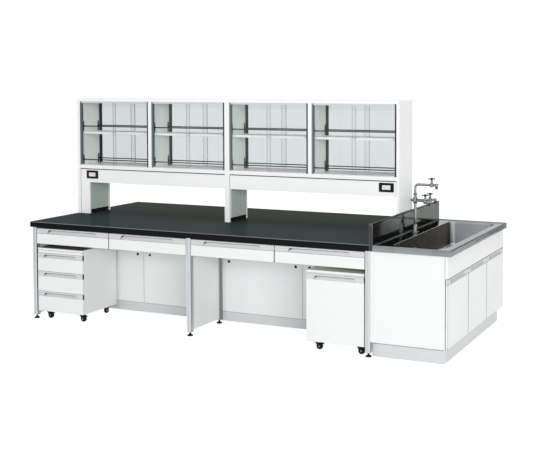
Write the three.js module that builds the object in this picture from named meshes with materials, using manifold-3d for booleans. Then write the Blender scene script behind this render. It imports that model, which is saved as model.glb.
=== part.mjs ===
// Lab bench with reagent shelf: a double-sided island bench on steel leg frames, with hanging drawers,
// two mobile wagons, a glazed reagent shelf along its middle and a stainless sink unit at one end.
// Millimetres, +Z up. X runs along the bench with the sink at its +X end, and -Y is the front.
// The origin is on the floor under the middle of the whole bench.

import * as THREE from 'three';
import { mergeVertices } from 'three/addons/utils/BufferGeometryUtils.js';
import Module from 'manifold-3d';

const wasm = await Module();
wasm.setup();

// Fits, and how far the pieces of one solid run into each other
const clearance = 0.3;
const frontGap = 2;
const overlap = 1;

// Whole bench
const benchLength = 3600;
const benchDepth = 1500;
const benchHeight = 800;
const sinkLength = 600;
const worktopThickness = 44;
const worktopArris = 5;
const worktopJoint = 2;

// Leg frames, with a white panel between the two posts of each
const postSide = 40;
const postCorner = 3;
const firstPostInset = 15;
const lastPostReach = 3;
const postFrontInset = 15;
const innerPostSetback = 431;
const railHeight = 40;
const partitionThickness = 18;
const partitionLift = 40;
const footHeight = 30;
const footPadDiameter = 44;
const footPadHeight = 10;
const footPadRim = 6;
const footStemDiameter = 14;

// Knee panels round the service space in the middle of the bench
const kneePanelThickness = 16;
const kneePanelLift = 97;
const kickLift = 20;
const kickSetback = 4;
const panelSeam = 4;
const fingerHoleDiameter = 25;
const fingerHoleHeight = 503;
const fingerHoleInset = 60;

// Drawers that hang under the worktop
const drawerFrontHeight = 132;
const frontThickness = 18;
const gripHeight = 45;
const gripDepth = 12;
const gripLip = 8;
const gripSlant = 16;
const benchGripMargin = 108;
const drawerBoxDepth = 395;
const drawerBoxHeight = 86;
const drawerBoxLift = 26;
const drawerSideThickness = 12;
const runnerSize = 12;
const runnerReach = 9;
const drawerSideRoom = 14;
const hangerThickness = 18;

// Wagons
const wagonWidth = 450;
const wagonDepth = 425;
const wagonHeadroom = 32;
const wagonTopThickness = 25;
const wagonGripSlot = 18;
const wagonPostGap = 8;
const wagonWall = 16;
const wagonGripMargin = 68;
const wagonGripHeight = 40;
const wagonDrawerGap = 3;
const upperDrawerHeight = 147;
const wagonBoxHeight = 95;
const wagonBoxLift = 24;
const wagonShelfHeight = 320;
const wagonDoorGripGap = 2;

// Casters of the wagons: a swivelling pair in front, a fixed pair behind
const casterHeight = 68;
const wheelDiameter = 50;
const wheelWidth = 20;
const wheelShoulder = 4;
const axleDiameter = 8;
const casterInset = 60;
const casterTrail = 20;
const casterPlate = 56;
const casterPlateThickness = 4;
const kingpinDiameter = 12;
const forkHeadDiameter = 36;
const forkHeadHeight = 8;
const forkLeg = 3;
const brakeLength = 34;
const brakeWidth = 18;
const brakeDrop = 14;
const brakeTipThickness = 5;
const wheelRoomAllowance = 6;

// Sink unit
const cabinetJointGap = 5;
const cabinetEndInset = 10;
const cabinetWall = 20;
const doorPlaneInset = 25;
const doorThickness = 20;
const apronDrop = 159;
const doorLift = 5;
const plinthHeight = 110;
const plinthEndSetback = 44;
const plinthDoorSetback = 15;
const cabinetDoorCount = 3;
const cabinetGripMargin = 74;
const sinkRimThickness = 44;
const sinkRimWidth = 14;
const sinkRimRise = 6;
const basinLedge = 145;
const basinRightRim = 77;
const basinEndRim = 80;
const basinDepth = 200;
const basinCorner = 45;
const sinkSheet = 2.5;
const drainDiameter = 60;
const splashbackThickness = 25;
const splashbackRise = 150;

// Faucet, which stands on the ledge between the splashback and the basin
const faucetInset = 77;
const flangeDiameter = 65;
const flangeHeight = 8;
const sleeveHeight = 60;
const pipeDiameter = 22;
const crossHeight = 245;
const crossDiameter = 36;
const crossLength = 62;
const plugReach = 40;
const plugTaper = 14;
const plugTipDiameter = 8;
const armReach = 116;
const armAngle = 30;
const armDiameter = 20;
const valveDiameter = 30;
const valveHeight = 44;
const bonnetDiameter = 21;
const bonnetHeight = 9;
const stemDiameter = 8;
const stemHeight = 10;
const handleSpan = 58;
const handleThickness = 10;
const hubDiameter = 19;
const hubHeight = 16;
const nozzleOffset = 34;
const nozzleLength = 58;
const nozzleCollarDiameter = 29;
const nozzleCollarHeight = 15;
const nozzleDiameter = 24;
const nozzleRibs = 3;
const nozzleRibDepth = 4;
const collarHeight = 14;
const collarDiameter = 32;
const turnedEdge = 4;
const swivelHeight = 325;
const neckRise = 41;
const neckReach = 132;
const neckBend = 24;
const neckDiameter = 19;

// Waste trap under the basin
const wasteDiameter = 50;
const wasteOutletDiameter = 40;
const bottleDiameter = 90;
const bottleHeight = 120;
const bottleDrop = 90;

// Reagent shelf
const shelfHeight = 1000;
const shelfDepth = 300;
const shelfLeftInset = 8;
const endPanelThickness = 9;
const unitGap = 0.6;
const uprightThickness = 22;
const shelfTopThickness = 25;
const baseBoardTop = 422;
const baseBoardThickness = 29;
const fasciaHeight = 120;
const fasciaThickness = 18;
const fasciaSetback = 6;
const midBoardTop = 713;
const midBoardThickness = 20;
const midBoardSetback = 36;
const dividerThickness = 32;
const columnWidth = 115;
const columnPanelSetback = 3;
const cableNotch = 35;
const jambFace = 14;
const jambDepth = 27;
const glassThickness = 5;
const trackPitch = 11;
const trackEdge = 3.5;
const trackRib = 8;
const trackFloor = 2;
const topTrackRib = 16;
const glassLift = 5;
const glassOverlap = 36;
const glassPlay = 0.5;
const guardRailDiameter = 9;
const guardRailRise = 46;
const guardRailSetback = 48;
const bracketHeight = 84;
const bracketWidth = 14;
const outletWidth = 120;
const outletHeight = 70;
const outletThickness = 7;
const outletCentreDrop = 51;
const outletCorner = 4;
const leftOutletInset = 148;
const rightOutletInset = 103;

// Places worked out from those sizes
const leftEnd = -benchLength / 2;
const rightEnd = benchLength / 2;
const frontEdge = -benchDepth / 2;
const sinkStart = rightEnd - sinkLength;
const worktopUnderside = benchHeight - worktopThickness;
const frameTop = worktopUnderside - clearance;
const firstPost = leftEnd + firstPostInset + postSide / 2;
const lastPost = sinkStart + lastPostReach - postSide / 2;
const postPitch = (lastPost - firstPost) / 2;
const postXs = [firstPost, firstPost + postPitch, lastPost];
const bayCentres = [firstPost + postPitch / 2, lastPost - postPitch / 2];
const postFront = frontEdge + postFrontInset;
const frontPostY = postFront + postSide / 2;
const innerPostY = frontPostY + innerPostSetback;
const innerPostFront = innerPostY - postSide / 2;
const kneePanelFront = innerPostY + postSide / 2 + clearance;

// Finishes
const finish = (color, roughness, metalness = 0) =>
  new THREE.MeshStandardMaterial({ color, roughness, metalness });
const charcoalLaminate = finish('#3c4041', 0.45);
const whiteBoard = finish('#f0f1ef', 0.5);
const greyPaint = finish('#c3c8cc', 0.4, 0.3);
const stainless = finish('#b4b8bb', 0.3, 1);
const chrome = finish('#d5d8da', 0.12, 1);
const rubber = finish('#55585a', 0.75);
const zinc = finish('#a9adb0', 0.35, 1);
const greyPlastic = finish('#9ea3a4', 0.6);
const glass = new THREE.MeshStandardMaterial({
  color: '#dcebe6', roughness: 0.05, metalness: 0, transparent: true, opacity: 0.25,
});

// Solids: closed meshes with shared vertices and their faces outwards
function weld(geometry) {
  const bare = geometry.clone();
  for (const name of Object.keys(bare.attributes)) {
    if (name !== 'position') bare.deleteAttribute(name);
  }
  return mergeVertices(bare, 1e-4);
}

function signedVolume(position, index) {
  const a = new THREE.Vector3();
  const b = new THREE.Vector3();
  const c = new THREE.Vector3();
  let sum = 0;
  for (let i = 0; i < index.length; i += 3) {
    a.fromBufferAttribute(position, index[i]);
    b.fromBufferAttribute(position, index[i + 1]);
    c.fromBufferAttribute(position, index[i + 2]);
    sum += a.dot(b.cross(c)) / 6;
  }
  return sum;
}

function solid(geometry) {
  const merged = weld(geometry);
  const { position } = merged.attributes;
  const triVerts = new Uint32Array(merged.index.array);
  if (signedVolume(position, triVerts) < 0) triVerts.reverse();
  const vertProperties = new Float32Array(position.array);
  return new wasm.Manifold(new wasm.Mesh({ numProp: 3, vertProperties, triVerts }));
}

function join(pieces) {
  return pieces.map(solid).reduce((sum, next) => sum.add(next));
}

function cut(body, tools) {
  return tools.map(solid).reduce((rest, tool) => rest.subtract(tool), body);
}

function toGeometry(body) {
  const mesh = body.getMesh();
  const geometry = new THREE.BufferGeometry();
  geometry.setAttribute('position', new THREE.BufferAttribute(new Float32Array(mesh.vertProperties), 3));
  geometry.setIndex(new THREE.BufferAttribute(new Uint32Array(mesh.triVerts), 1));
  geometry.computeVertexNormals();
  return geometry;
}

// The same piece on the other side of the bench
function mirroredInY(geometry) {
  const other = weld(geometry).scale(1, -1, 1);
  other.index.array.reverse();
  return other;
}

// Simple forms, given by the planes or the axis that they lie on
function block(x0, x1, y0, y1, z0, z1) {
  const geometry = new THREE.BoxGeometry(x1 - x0, y1 - y0, z1 - z0);
  return geometry.translate((x0 + x1) / 2, (y0 + y1) / 2, (z0 + z1) / 2);
}

function rod(diameter, from, to, sides = 16) {
  const start = new THREE.Vector3(...from);
  const along = new THREE.Vector3(...to).sub(start);
  const radius = diameter / 2;
  const geometry = weld(new THREE.CylinderGeometry(radius, radius, along.length(), sides));
  const turn = new THREE.Quaternion().setFromUnitVectors(
    new THREE.Vector3(0, 1, 0), along.clone().normalize());
  const middle = start.addScaledVector(along, 0.5);
  return geometry.applyQuaternion(turn).translate(middle.x, middle.y, middle.z);
}

function roundedRectangle(x0, x1, y0, y1, radius) {
  const shape = new THREE.Shape();
  shape.moveTo(x0 + radius, y0);
  shape.lineTo(x1 - radius, y0);
  shape.absarc(x1 - radius, y0 + radius, radius, -Math.PI / 2, 0);
  shape.lineTo(x1, y1 - radius);
  shape.absarc(x1 - radius, y1 - radius, radius, 0, Math.PI / 2);
  shape.lineTo(x0 + radius, y1);
  shape.absarc(x0 + radius, y1 - radius, radius, Math.PI / 2, Math.PI);
  shape.lineTo(x0, y0 + radius);
  shape.absarc(x0 + radius, y0 + radius, radius, Math.PI, Math.PI * 1.5);
  return shape;
}

const extrude = (shape, depth, curveSegments) =>
  weld(new THREE.ExtrudeGeometry(shape, { depth, bevelEnabled: false, curveSegments }));

// A shape drawn in X and Y, standing from z0 to z1
function prismZ(shape, z0, z1, curveSegments = 3) {
  return extrude(shape, z1 - z0, curveSegments).translate(0, 0, z0);
}

// A shape drawn in Y and Z, running from x0 to x1
function prismX(shape, x0, x1, curveSegments = 3) {
  const axes = new THREE.Matrix4().makeBasis(
    new THREE.Vector3(0, 1, 0), new THREE.Vector3(0, 0, 1), new THREE.Vector3(1, 0, 0));
  return extrude(shape, x1 - x0, curveSegments).applyMatrix4(axes).translate(x0, 0, 0);
}

// A shape drawn in X and Z, running from y0 to y1
function prismY(shape, y0, y1, curveSegments = 3) {
  const axes = new THREE.Matrix4().makeBasis(
    new THREE.Vector3(1, 0, 0), new THREE.Vector3(0, 0, 1), new THREE.Vector3(0, -1, 0));
  return extrude(shape, y1 - y0, curveSegments).applyMatrix4(axes).translate(0, y1, 0);
}

const outline = (points) => new THREE.Shape(points.map(([x, y]) => new THREE.Vector2(x, y)));

// A profile of radius and height turned round a vertical axis
function turned(profile, sides = 20) {
  const points = profile.map(([radius, height]) => new THREE.Vector2(radius, height));
  return weld(new THREE.LatheGeometry(points, sides)).rotateX(Math.PI / 2);
}

const bench = new THREE.Group();

function place(parent, name, geometry, material, x = 0, y = 0, z = 0) {
  const mesh = new THREE.Mesh(geometry, material);
  mesh.name = name;
  mesh.position.set(x, y, z);
  parent.add(mesh);
  return mesh;
}

// Worktop: one laminate half each side of the seam, with rounded arrises along its outer edge.
// A fine joint crosses it over the middle leg frame.
function worktopHalf() {
  const r = worktopArris;
  const section = new THREE.Shape();
  section.moveTo(-clearance, worktopUnderside);
  section.lineTo(-clearance, benchHeight);
  section.lineTo(frontEdge + r, benchHeight);
  section.absarc(frontEdge + r, benchHeight - r, r, Math.PI / 2, Math.PI);
  section.lineTo(frontEdge, worktopUnderside + r);
  section.absarc(frontEdge + r, worktopUnderside + r, r, Math.PI, Math.PI * 1.5);
  const half = worktopJoint / 2;
  const joint = block(
    postXs[1] - half, postXs[1] + half, frontEdge - overlap, overlap,
    benchHeight - worktopJoint, benchHeight + overlap);
  return toGeometry(cut(solid(prismX(section, leftEnd, sinkStart - clearance)), [joint]));
}

// Leg frames of one side, with their feet, panels, long rail and drawer runners
function foot(x, y) {
  return turned([
    [0, 0], [footPadDiameter / 2, 0], [footPadDiameter / 2, footPadRim],
    [footStemDiameter / 2, footPadHeight], [footStemDiameter / 2, footHeight + postSide / 2],
    [0, footHeight + postSide / 2],
  ], 8).translate(x, y, 0);
}

const drawerFrontTop = worktopUnderside - frontGap * 2;
const drawerFrontBottom = drawerFrontTop - drawerFrontHeight;
const drawerBoxBottom = drawerFrontBottom + drawerBoxLift;
const runnerTop = drawerBoxBottom - clearance;
const halfBay = (postPitch - postSide) / 2;
const benchDrawerWidth = halfBay - frontGap * 1.5;
const benchBoxWidth = benchDrawerWidth - drawerSideRoom * 2;
const drawerOffset = halfBay / 2 + frontGap / 4;
const drawerCentres = bayCentres.flatMap((x) => [x - drawerOffset, x + drawerOffset]);
const drawerBack = postFront + frontThickness + drawerBoxDepth;

function drawerRunners() {
  const runners = [];
  for (const centre of drawerCentres) {
    for (const side of [-1, 1]) {
      const boxSide = centre + side * (benchBoxWidth / 2);
      const inner = boxSide - side * runnerReach;
      const carriers = [...postXs, ...bayCentres];
      const carrier = carriers.reduce((a, b) => (Math.abs(a - boxSide) < Math.abs(b - boxSide) ? a : b));
      const [x0, x1] = [inner, carrier].sort((a, b) => a - b);
      runners.push(block(x0, x1, frontPostY + postSide, drawerBack, runnerTop - runnerSize, runnerTop));
    }
  }
  return runners;
}

function legFrames() {
  const pieces = [];
  for (const x of postXs) {
    for (const y of [frontPostY, innerPostY]) {
      const half = postSide / 2;
      const section = roundedRectangle(x - half, x + half, y - half, y + half, postCorner);
      pieces.push(prismZ(section, footHeight, frameTop, 1), foot(x, y));
    }
    const half = partitionThickness / 2;
    pieces.push(block(x - half, x + half, frontPostY, innerPostY, partitionLift, frameTop));
  }
  const railFront = innerPostFront;
  const railBack = innerPostY + postSide / 2;
  pieces.push(block(firstPost, lastPost, railFront, railBack, frameTop - railHeight, frameTop));
  for (const x of bayCentres) {
    const half = hangerThickness / 2;
    const front = postFront + frontThickness + clearance;
    pieces.push(block(x - half, x + half, front, innerPostY, runnerTop - runnerSize, frameTop));
  }
  return toGeometry(join([...pieces, ...drawerRunners()]));
}

// Knee panels: two walls of lift-off panels and their kick strips, joined at the ends of the bench
function serviceCore() {
  const wallLeft = firstPost - postSide / 2;
  const wallRight = lastPost + postSide / 2;
  const outerY = -kneePanelFront;
  const innerY = outerY - kneePanelThickness;
  const kickY = outerY - kickSetback;
  const top = worktopUnderside - clearance;
  const panels = roundedRectangle(wallLeft, wallRight, -outerY, outerY, postCorner);
  panels.holes.push(roundedRectangle(
    wallLeft + kneePanelThickness, wallRight - kneePanelThickness, -innerY, innerY, postCorner));
  const kick = roundedRectangle(
    wallLeft + kickSetback, wallRight - kickSetback, -kickY, kickY, postCorner);
  kick.holes.push(roundedRectangle(
    wallLeft + kneePanelThickness, wallRight - kneePanelThickness, -innerY, innerY, postCorner));
  const walls = join([
    prismZ(panels, kneePanelLift, top, 1), prismZ(kick, kickLift, kneePanelLift + kickSetback, 1),
  ]);
  const tools = [];
  for (const side of [-1, 1]) {
    const face = side * outerY;
    for (const x of bayCentres) {
      const half = panelSeam / 2;
      tools.push(block(x - half, x + half, face - half, face + half, kneePanelLift, top));
    }
    for (const x of postXs.slice(0, 2)) {
      const panelStart = x + postSide / 2;
      const middle = x + postPitch / 2;
      const panelEnd = x + postPitch - postSide / 2;
      const holes = [panelStart, middle].map((edge) => edge + fingerHoleInset);
      holes.push(...[middle, panelEnd].map((edge) => edge - fingerHoleInset));
      for (const at of holes) {
        const through = kneePanelThickness * 2;
        tools.push(rod(fingerHoleDiameter, [at, face - through, fingerHoleHeight],
          [at, face + through, fingerHoleHeight], 10));
      }
    }
  }
  return toGeometry(cut(walls, tools));
}

// Fronts: a board whose top strip has a finger grip scooped into it
function gripFront(width, bottom, top, thickness, stripHeight, margin) {
  const gripBottom = top - stripHeight + gripLip;
  const gripTop = top - gripLip;
  const half = width / 2 - margin;
  const scoop = outline([
    [-half, gripBottom], [half, gripBottom], [half - gripSlant, gripTop], [gripSlant - half, gripTop],
  ]);
  return {
    board: block(-width / 2, width / 2, 0, thickness, bottom, top),
    grip: prismY(scoop, -gripDepth, gripDepth),
  };
}

// Drawer: its front stands at y = 0 and the open box runs back from it
function drawer(width, bottom, top, strip, margin, boxWidth, boxDepth, boxBottom, boxHeight) {
  const { board, grip } = gripFront(width, bottom, top, frontThickness, strip, margin);
  const wall = drawerSideThickness;
  const half = boxWidth / 2;
  const back = frontThickness + boxDepth;
  const box = block(-half, half, frontThickness - wall / 2, back, boxBottom, boxBottom + boxHeight);
  const inside = block(
    wall - half, half - wall, frontThickness, back - wall, boxBottom + wall, boxBottom + boxHeight + wall);
  return toGeometry(cut(join([board, box]), [grip, inside]));
}

const benchDrawer = drawer(
  benchDrawerWidth, drawerFrontBottom, drawerFrontTop, gripHeight, benchGripMargin,
  benchBoxWidth, drawerBoxDepth, drawerBoxBottom, drawerBoxHeight);

function benchSide(sideName, sideSign) {
  const side = new THREE.Group();
  const halfTop = worktopHalf();
  const frames = legFrames();
  place(side, `worktop_${sideName}`, sideSign < 0 ? halfTop : mirroredInY(halfTop), charcoalLaminate);
  place(side, `leg_frames_${sideName}`, sideSign < 0 ? frames : mirroredInY(frames), greyPaint);
  drawerCentres.forEach((x, i) => {
    const name = `bench_drawer_${sideName}_${i + 1}`;
    const mesh = place(side, name, benchDrawer, whiteBoard, x, sideSign * -postFront);
    mesh.rotation.z = sideSign < 0 ? 0 : Math.PI;
  });
  bench.add(side);
}

benchSide('front', -1);
benchSide('back', 1);
place(bench, 'service_core', serviceCore(), whiteBoard);

// Casters: the wheel turns on an axle between the legs of its fork
function wheel() {
  const r = wheelDiameter / 2;
  const bore = axleDiameter / 2 + clearance;
  const half = wheelWidth / 2;
  const profile = [
    [bore, -half], [r - wheelShoulder, -half], [r, wheelShoulder - half], [r, half - wheelShoulder],
    [r - wheelShoulder, half], [bore, half], [bore, -half],
  ].map(([radius, along]) => new THREE.Vector2(radius, along));
  return toGeometry(solid(new THREE.LatheGeometry(profile, 14)));
}

const forkInner = wheelWidth / 2 + clearance * 2;
const forkHeadTop = casterHeight - casterPlateThickness - clearance;
const forkHeadBottom = forkHeadTop - forkHeadHeight;
const axleHeight = wheelDiameter / 2;

// Two legs and the axle between them, for a wheel that rolls in the direction of X
function forkLegs(trail, legTop) {
  const boss = axleDiameter;
  const head = forkHeadDiameter / 2;
  const side = new THREE.Shape();
  side.moveTo(-head, legTop);
  side.lineTo(trail - boss, axleHeight);
  side.absarc(trail, axleHeight, boss, Math.PI, Math.PI * 2);
  side.lineTo(head, legTop);
  const axleEnd = forkInner + forkLeg + overlap;
  return [
    prismY(side, forkInner, forkInner + forkLeg, 3),
    prismY(side, -forkInner - forkLeg, -forkInner, 3),
    rod(axleDiameter, [trail, -axleEnd, axleHeight], [trail, axleEnd, axleHeight], 8),
  ];
}

// Swivelling fork with its brake pedal, round a kingpin at x = 0, y = 0
function swivelFork() {
  const head = rod(forkHeadDiameter, [0, 0, forkHeadBottom], [0, 0, forkHeadTop], 12);
  const cheek = forkInner + forkLeg;
  const reach = forkHeadDiameter / 2;
  const legTop = forkHeadTop - overlap;
  const bridge = block(-reach, reach, -cheek, cheek, forkHeadBottom, legTop);
  const tip = casterTrail + brakeLength;
  const tipBottom = forkHeadBottom - brakeDrop;
  const pedal = outline([
    [0, forkHeadBottom + overlap], [reach, forkHeadBottom + overlap], [tip, tipBottom],
    [tip, tipBottom + brakeTipThickness], [reach, legTop - overlap], [0, legTop - overlap],
  ]);
  const body = join([
    head, bridge, ...forkLegs(casterTrail, legTop), prismY(pedal, -brakeWidth / 2, brakeWidth / 2),
  ]);
  const pinBore = rod(kingpinDiameter + clearance * 2, [0, 0, 0], [0, 0, casterHeight], 16);
  const wheelRoom = rod(
    wheelDiameter + wheelRoomAllowance,
    [casterTrail, -forkInner, axleHeight], [casterTrail, forkInner, axleHeight], 14);
  const axle = rod(axleDiameter, [casterTrail, -cheek, axleHeight], [casterTrail, cheek, axleHeight], 8);
  return toGeometry(cut(body, [pinBore, wheelRoom]).add(solid(axle)));
}

// What a wagon's underside carries: plates and kingpins in front, whole fixed forks behind
function casterMounts(casters) {
  const pieces = [];
  const half = casterPlate / 2;
  const plateBottom = casterHeight - casterPlateThickness;
  for (const { x, y, swivels } of casters) {
    pieces.push(block(x - half, x + half, y - half, y + half, plateBottom, casterHeight + overlap));
    if (swivels) {
      pieces.push(rod(kingpinDiameter, [x, y, forkHeadBottom], [x, y, casterHeight], 10));
    } else {
      for (const leg of forkLegs(0, plateBottom + overlap)) {
        pieces.push(leg.rotateZ(Math.PI / 2).translate(x, y, 0));
      }
    }
  }
  return pieces;
}

const casterXs = [-1, 1].map((side) => side * (wagonWidth / 2 - casterInset));
const wagonBack = frontThickness + clearance + wagonDepth;
const wagonCasters = [
  ...casterXs.map((x) => ({ x, y: casterInset, swivels: true })),
  ...casterXs.map((x) => ({ x, y: wagonBack - casterInset, swivels: false })),
];
const carcassFront = frontThickness + clearance;
const wagonInnerWidth = wagonWidth - wagonWall * 2;
const wagonTop = drawerFrontBottom - wagonHeadroom;
const wagonUnderTop = wagonTop - wagonTopThickness;
const wagonBoxWidth = wagonInnerWidth - drawerSideRoom * 2;
const wagonBoxDepth = wagonDepth - wagonWall * 2;

// Wagon carcass: open in front, with its top board standing forward over the fronts
function wagonCarcass(ledgeHeights, hasShelf) {
  const half = wagonWidth / 2;
  const inner = wagonInnerWidth / 2;
  const shell = join([
    block(-half, half, carcassFront, wagonBack, casterHeight, wagonTop),
    block(-half, half, 0, wagonBack, wagonUnderTop, wagonTop),
    ...casterMounts(wagonCasters),
  ]);
  const inside = block(
    -inner, inner, 0, wagonBack - wagonWall, casterHeight + wagonWall, wagonUnderTop);
  const hollow = cut(shell, [inside]);
  const fittings = ledgeHeights.flatMap((top) => [-1, 1].map((side) => {
    const reach = wagonBoxWidth / 2 - runnerReach;
    const [x0, x1] = [side * reach, side * (inner + wagonWall / 2)].sort((a, b) => a - b);
    return block(x0, x1, carcassFront, wagonBack - wagonWall, top - runnerSize, top);
  }));
  if (hasShelf) {
    const top = wagonShelfHeight;
    fittings.push(block(
      -inner - overlap, inner + overlap, carcassFront + frontThickness, wagonBack - overlap,
      top - wagonWall, top));
  }
  return toGeometry(fittings.length ? hollow.add(join(fittings)) : hollow);
}

// Fronts of the three wagon drawers: a lower one on top, and two alike under it
const upperDrawerTop = wagonUnderTop - wagonGripSlot;
const middleDrawerTop = upperDrawerTop - upperDrawerHeight - wagonDrawerGap;
const lowerDrawerTop = (casterHeight + middleDrawerTop - wagonDrawerGap) / 2;
const drawerTops = [upperDrawerTop, middleDrawerTop, lowerDrawerTop];
const drawerBottoms = [middleDrawerTop + wagonDrawerGap, lowerDrawerTop + wagonDrawerGap, casterHeight];
const drawerLedges = drawerBottoms.map((bottom) => bottom + wagonBoxLift - clearance);

function wagonDrawer(i) {
  return drawer(
    wagonWidth, drawerBottoms[i], drawerTops[i], wagonGripHeight, wagonGripMargin,
    wagonBoxWidth, wagonBoxDepth, drawerBottoms[i] + wagonBoxLift, wagonBoxHeight);
}

function wagonDoor() {
  const top = wagonUnderTop - wagonDoorGripGap;
  const { board, grip } = gripFront(
    wagonWidth, casterHeight, top, frontThickness, wagonGripHeight, wagonGripMargin);
  return toGeometry(cut(solid(board), [grip]));
}

const wheelGeometry = wheel();
const forkGeometry = swivelFork();

function wagon(name, x, ledgeHeights, hasShelf) {
  const group = new THREE.Group();
  group.position.set(x, postFront, 0);
  place(group, `${name}_body`, wagonCarcass(ledgeHeights, hasShelf), whiteBoard);
  wagonCasters.forEach((caster, i) => {
    const end = caster.swivels ? 'front' : 'rear';
    const hand = i % 2 ? 'right' : 'left';
    const trail = caster.swivels ? casterTrail : 0;
    if (caster.swivels) {
      place(group, `${name}_caster_fork_${hand}`, forkGeometry, zinc, caster.x, caster.y);
    }
    const turning = place(
      group, `${name}_wheel_${end}_${hand}`, wheelGeometry, rubber, caster.x + trail, caster.y, axleHeight);
    if (!caster.swivels) turning.rotation.z = Math.PI / 2;
  });
  bench.add(group);
  return group;
}

const drawerWagonX = firstPost + postSide / 2 + wagonPostGap + wagonWidth / 2;
const doorWagonX = lastPost - postSide / 2 - wagonPostGap - wagonWidth / 2;
const drawerWagon = wagon('drawer_wagon', drawerWagonX, drawerLedges, false);
const doorWagon = wagon('door_wagon', doorWagonX, [], true);
['upper', 'middle', 'lower'].forEach((level, i) => {
  place(drawerWagon, `drawer_wagon_${level}_drawer`, wagonDrawer(i), whiteBoard);
});
place(doorWagon, 'door_wagon_door', wagonDoor(), whiteBoard);

// Sink unit: a cabinet with three doors in its end face, on a recessed plinth
const cabinetLeft = sinkStart + cabinetJointGap;
const doorPlane = rightEnd - doorPlaneInset;
const cabinetRight = doorPlane - doorThickness - clearance;
const cabinetHalf = benchDepth / 2 - cabinetEndInset;
const sinkUnderside = benchHeight - sinkRimThickness;
const sinkDeck = benchHeight - sinkRimRise;
const doorTop = sinkUnderside - apronDrop;
const cabinetTop = sinkDeck - sinkSheet - clearance;
const basinBottom = sinkDeck - basinDepth;
const doorBottom = plinthHeight + doorLift;
const doorPitch = (cabinetHalf * 2) / cabinetDoorCount;
const cabinetDoorWidth = doorPitch - frontGap;

function sinkCabinet() {
  const shell = block(cabinetLeft, cabinetRight, -cabinetHalf, cabinetHalf, plinthHeight, cabinetTop);
  const apron = block(
    cabinetRight - overlap, doorPlane, -cabinetHalf, cabinetHalf, doorTop + frontGap, cabinetTop);
  const plinthHalf = cabinetHalf - plinthEndSetback;
  const plinth = block(
    cabinetLeft, cabinetRight - plinthDoorSetback, -plinthHalf, plinthHalf, 0, plinthHeight + overlap);
  const wall = cabinetWall;
  const inside = block(
    cabinetLeft + wall, cabinetRight + overlap, wall - cabinetHalf, cabinetHalf - wall,
    plinthHeight + wall, doorTop);
  const well = block(
    cabinetLeft + wall, cabinetRight - wall, wall - cabinetHalf, cabinetHalf - wall,
    doorTop - overlap, cabinetTop + overlap);
  const plinthInside = block(
    cabinetLeft + wall, cabinetRight - plinthDoorSetback - wall, wall - plinthHalf, plinthHalf - wall,
    -overlap, plinthHeight);
  const upstandRoom = block(
    cabinetLeft - overlap, sinkStart + splashbackThickness + clearance,
    -cabinetHalf - overlap, cabinetHalf + overlap, sinkUnderside - clearance, cabinetTop + overlap);
  const body = cut(join([shell, apron, plinth]), [inside, well, plinthInside, upstandRoom]);
  const dividerTop = basinBottom - sinkSheet - wall;
  const dividers = Array.from({ length: cabinetDoorCount - 1 }, (_, i) => {
    const y = doorPitch * (i + 1) - cabinetHalf;
    return block(
      cabinetLeft + overlap, cabinetRight, y - wall / 2, y + wall / 2, plinthHeight + overlap, dividerTop);
  });
  return toGeometry(body.add(join(dividers)));
}

function cabinetDoor() {
  const { board, grip } = gripFront(
    cabinetDoorWidth, doorBottom, doorTop, doorThickness, wagonGripHeight, cabinetGripMargin);
  return toGeometry(cut(solid(board), [grip]));
}

// Stainless top with a raised rim, a long basin with round corners and an upstand against the shelf
const basinLeft = sinkStart + basinLedge;
const basinRight = rightEnd - basinRightRim;
const basinHalf = benchDepth / 2 - basinEndRim;
const basinX = (basinLeft + basinRight) / 2;

function sinkTop() {
  const half = benchDepth / 2;
  const slab = block(sinkStart, rightEnd, -half, half, sinkUnderside, benchHeight);
  const upstand = block(
    sinkStart, sinkStart + splashbackThickness, -half, half, sinkUnderside, benchHeight + splashbackRise);
  const rim = sinkRimWidth;
  const deck = block(
    sinkStart + splashbackThickness, rightEnd - rim, rim - half, half - rim,
    sinkDeck, benchHeight + overlap);
  const bowl = (grow) => roundedRectangle(
    basinLeft - grow, basinRight + grow, -basinHalf - grow, basinHalf + grow, basinCorner + grow);
  const sheet = sinkSheet;
  const underDeck = block(
    sinkStart + splashbackThickness, rightEnd - sheet, sheet - half, half - sheet,
    sinkUnderside - overlap, sinkDeck - sheet);
  const upstandInside = block(
    sinkStart + sheet, sinkStart + splashbackThickness - sheet, sheet - half, half - sheet,
    sinkUnderside - overlap, benchHeight + splashbackRise - sheet);
  const outside = prismZ(bowl(sheet), basinBottom - sheet, sinkDeck - sheet / 2, 6);
  const inside = prismZ(bowl(0), basinBottom, benchHeight + overlap, 6);
  const drain = rod(drainDiameter, [basinX, 0, 0], [basinX, 0, basinBottom + overlap], 20);
  const folded = cut(cut(solid(slab), [deck]).add(solid(upstand)), [underDeck, upstandInside]);
  return toGeometry(cut(folded.add(solid(outside)), [inside, drain]));
}

// Bottle trap that hangs under the drain, with its outlet through to the service space side
function wasteTrap() {
  const top = basinBottom - sinkSheet - clearance;
  const neck = wasteDiameter / 2;
  const bottle = bottleDiameter / 2;
  const flange = drainDiameter / 2 + sinkSheet;
  const bottleTop = top - bottleDrop;
  const bottleFloor = bottleTop - bottleHeight;
  const wasteAxis = bottleTop - neck;
  const body = turned([
    [0, bottleFloor], [bottle - neck / 2, bottleFloor], [bottle, bottleFloor + neck / 2],
    [bottle, bottleTop - neck / 2], [neck, bottleTop], [neck, top - neck], [flange, top - neck / 2],
    [flange, top], [0, top],
  ], 20).translate(basinX, 0, 0);
  const outletEnd = cabinetLeft + cabinetWall + clearance;
  const outlet = rod(wasteOutletDiameter, [basinX, 0, wasteAxis], [outletEnd, 0, wasteAxis], 16);
  return toGeometry(join([body, outlet]));
}

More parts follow.
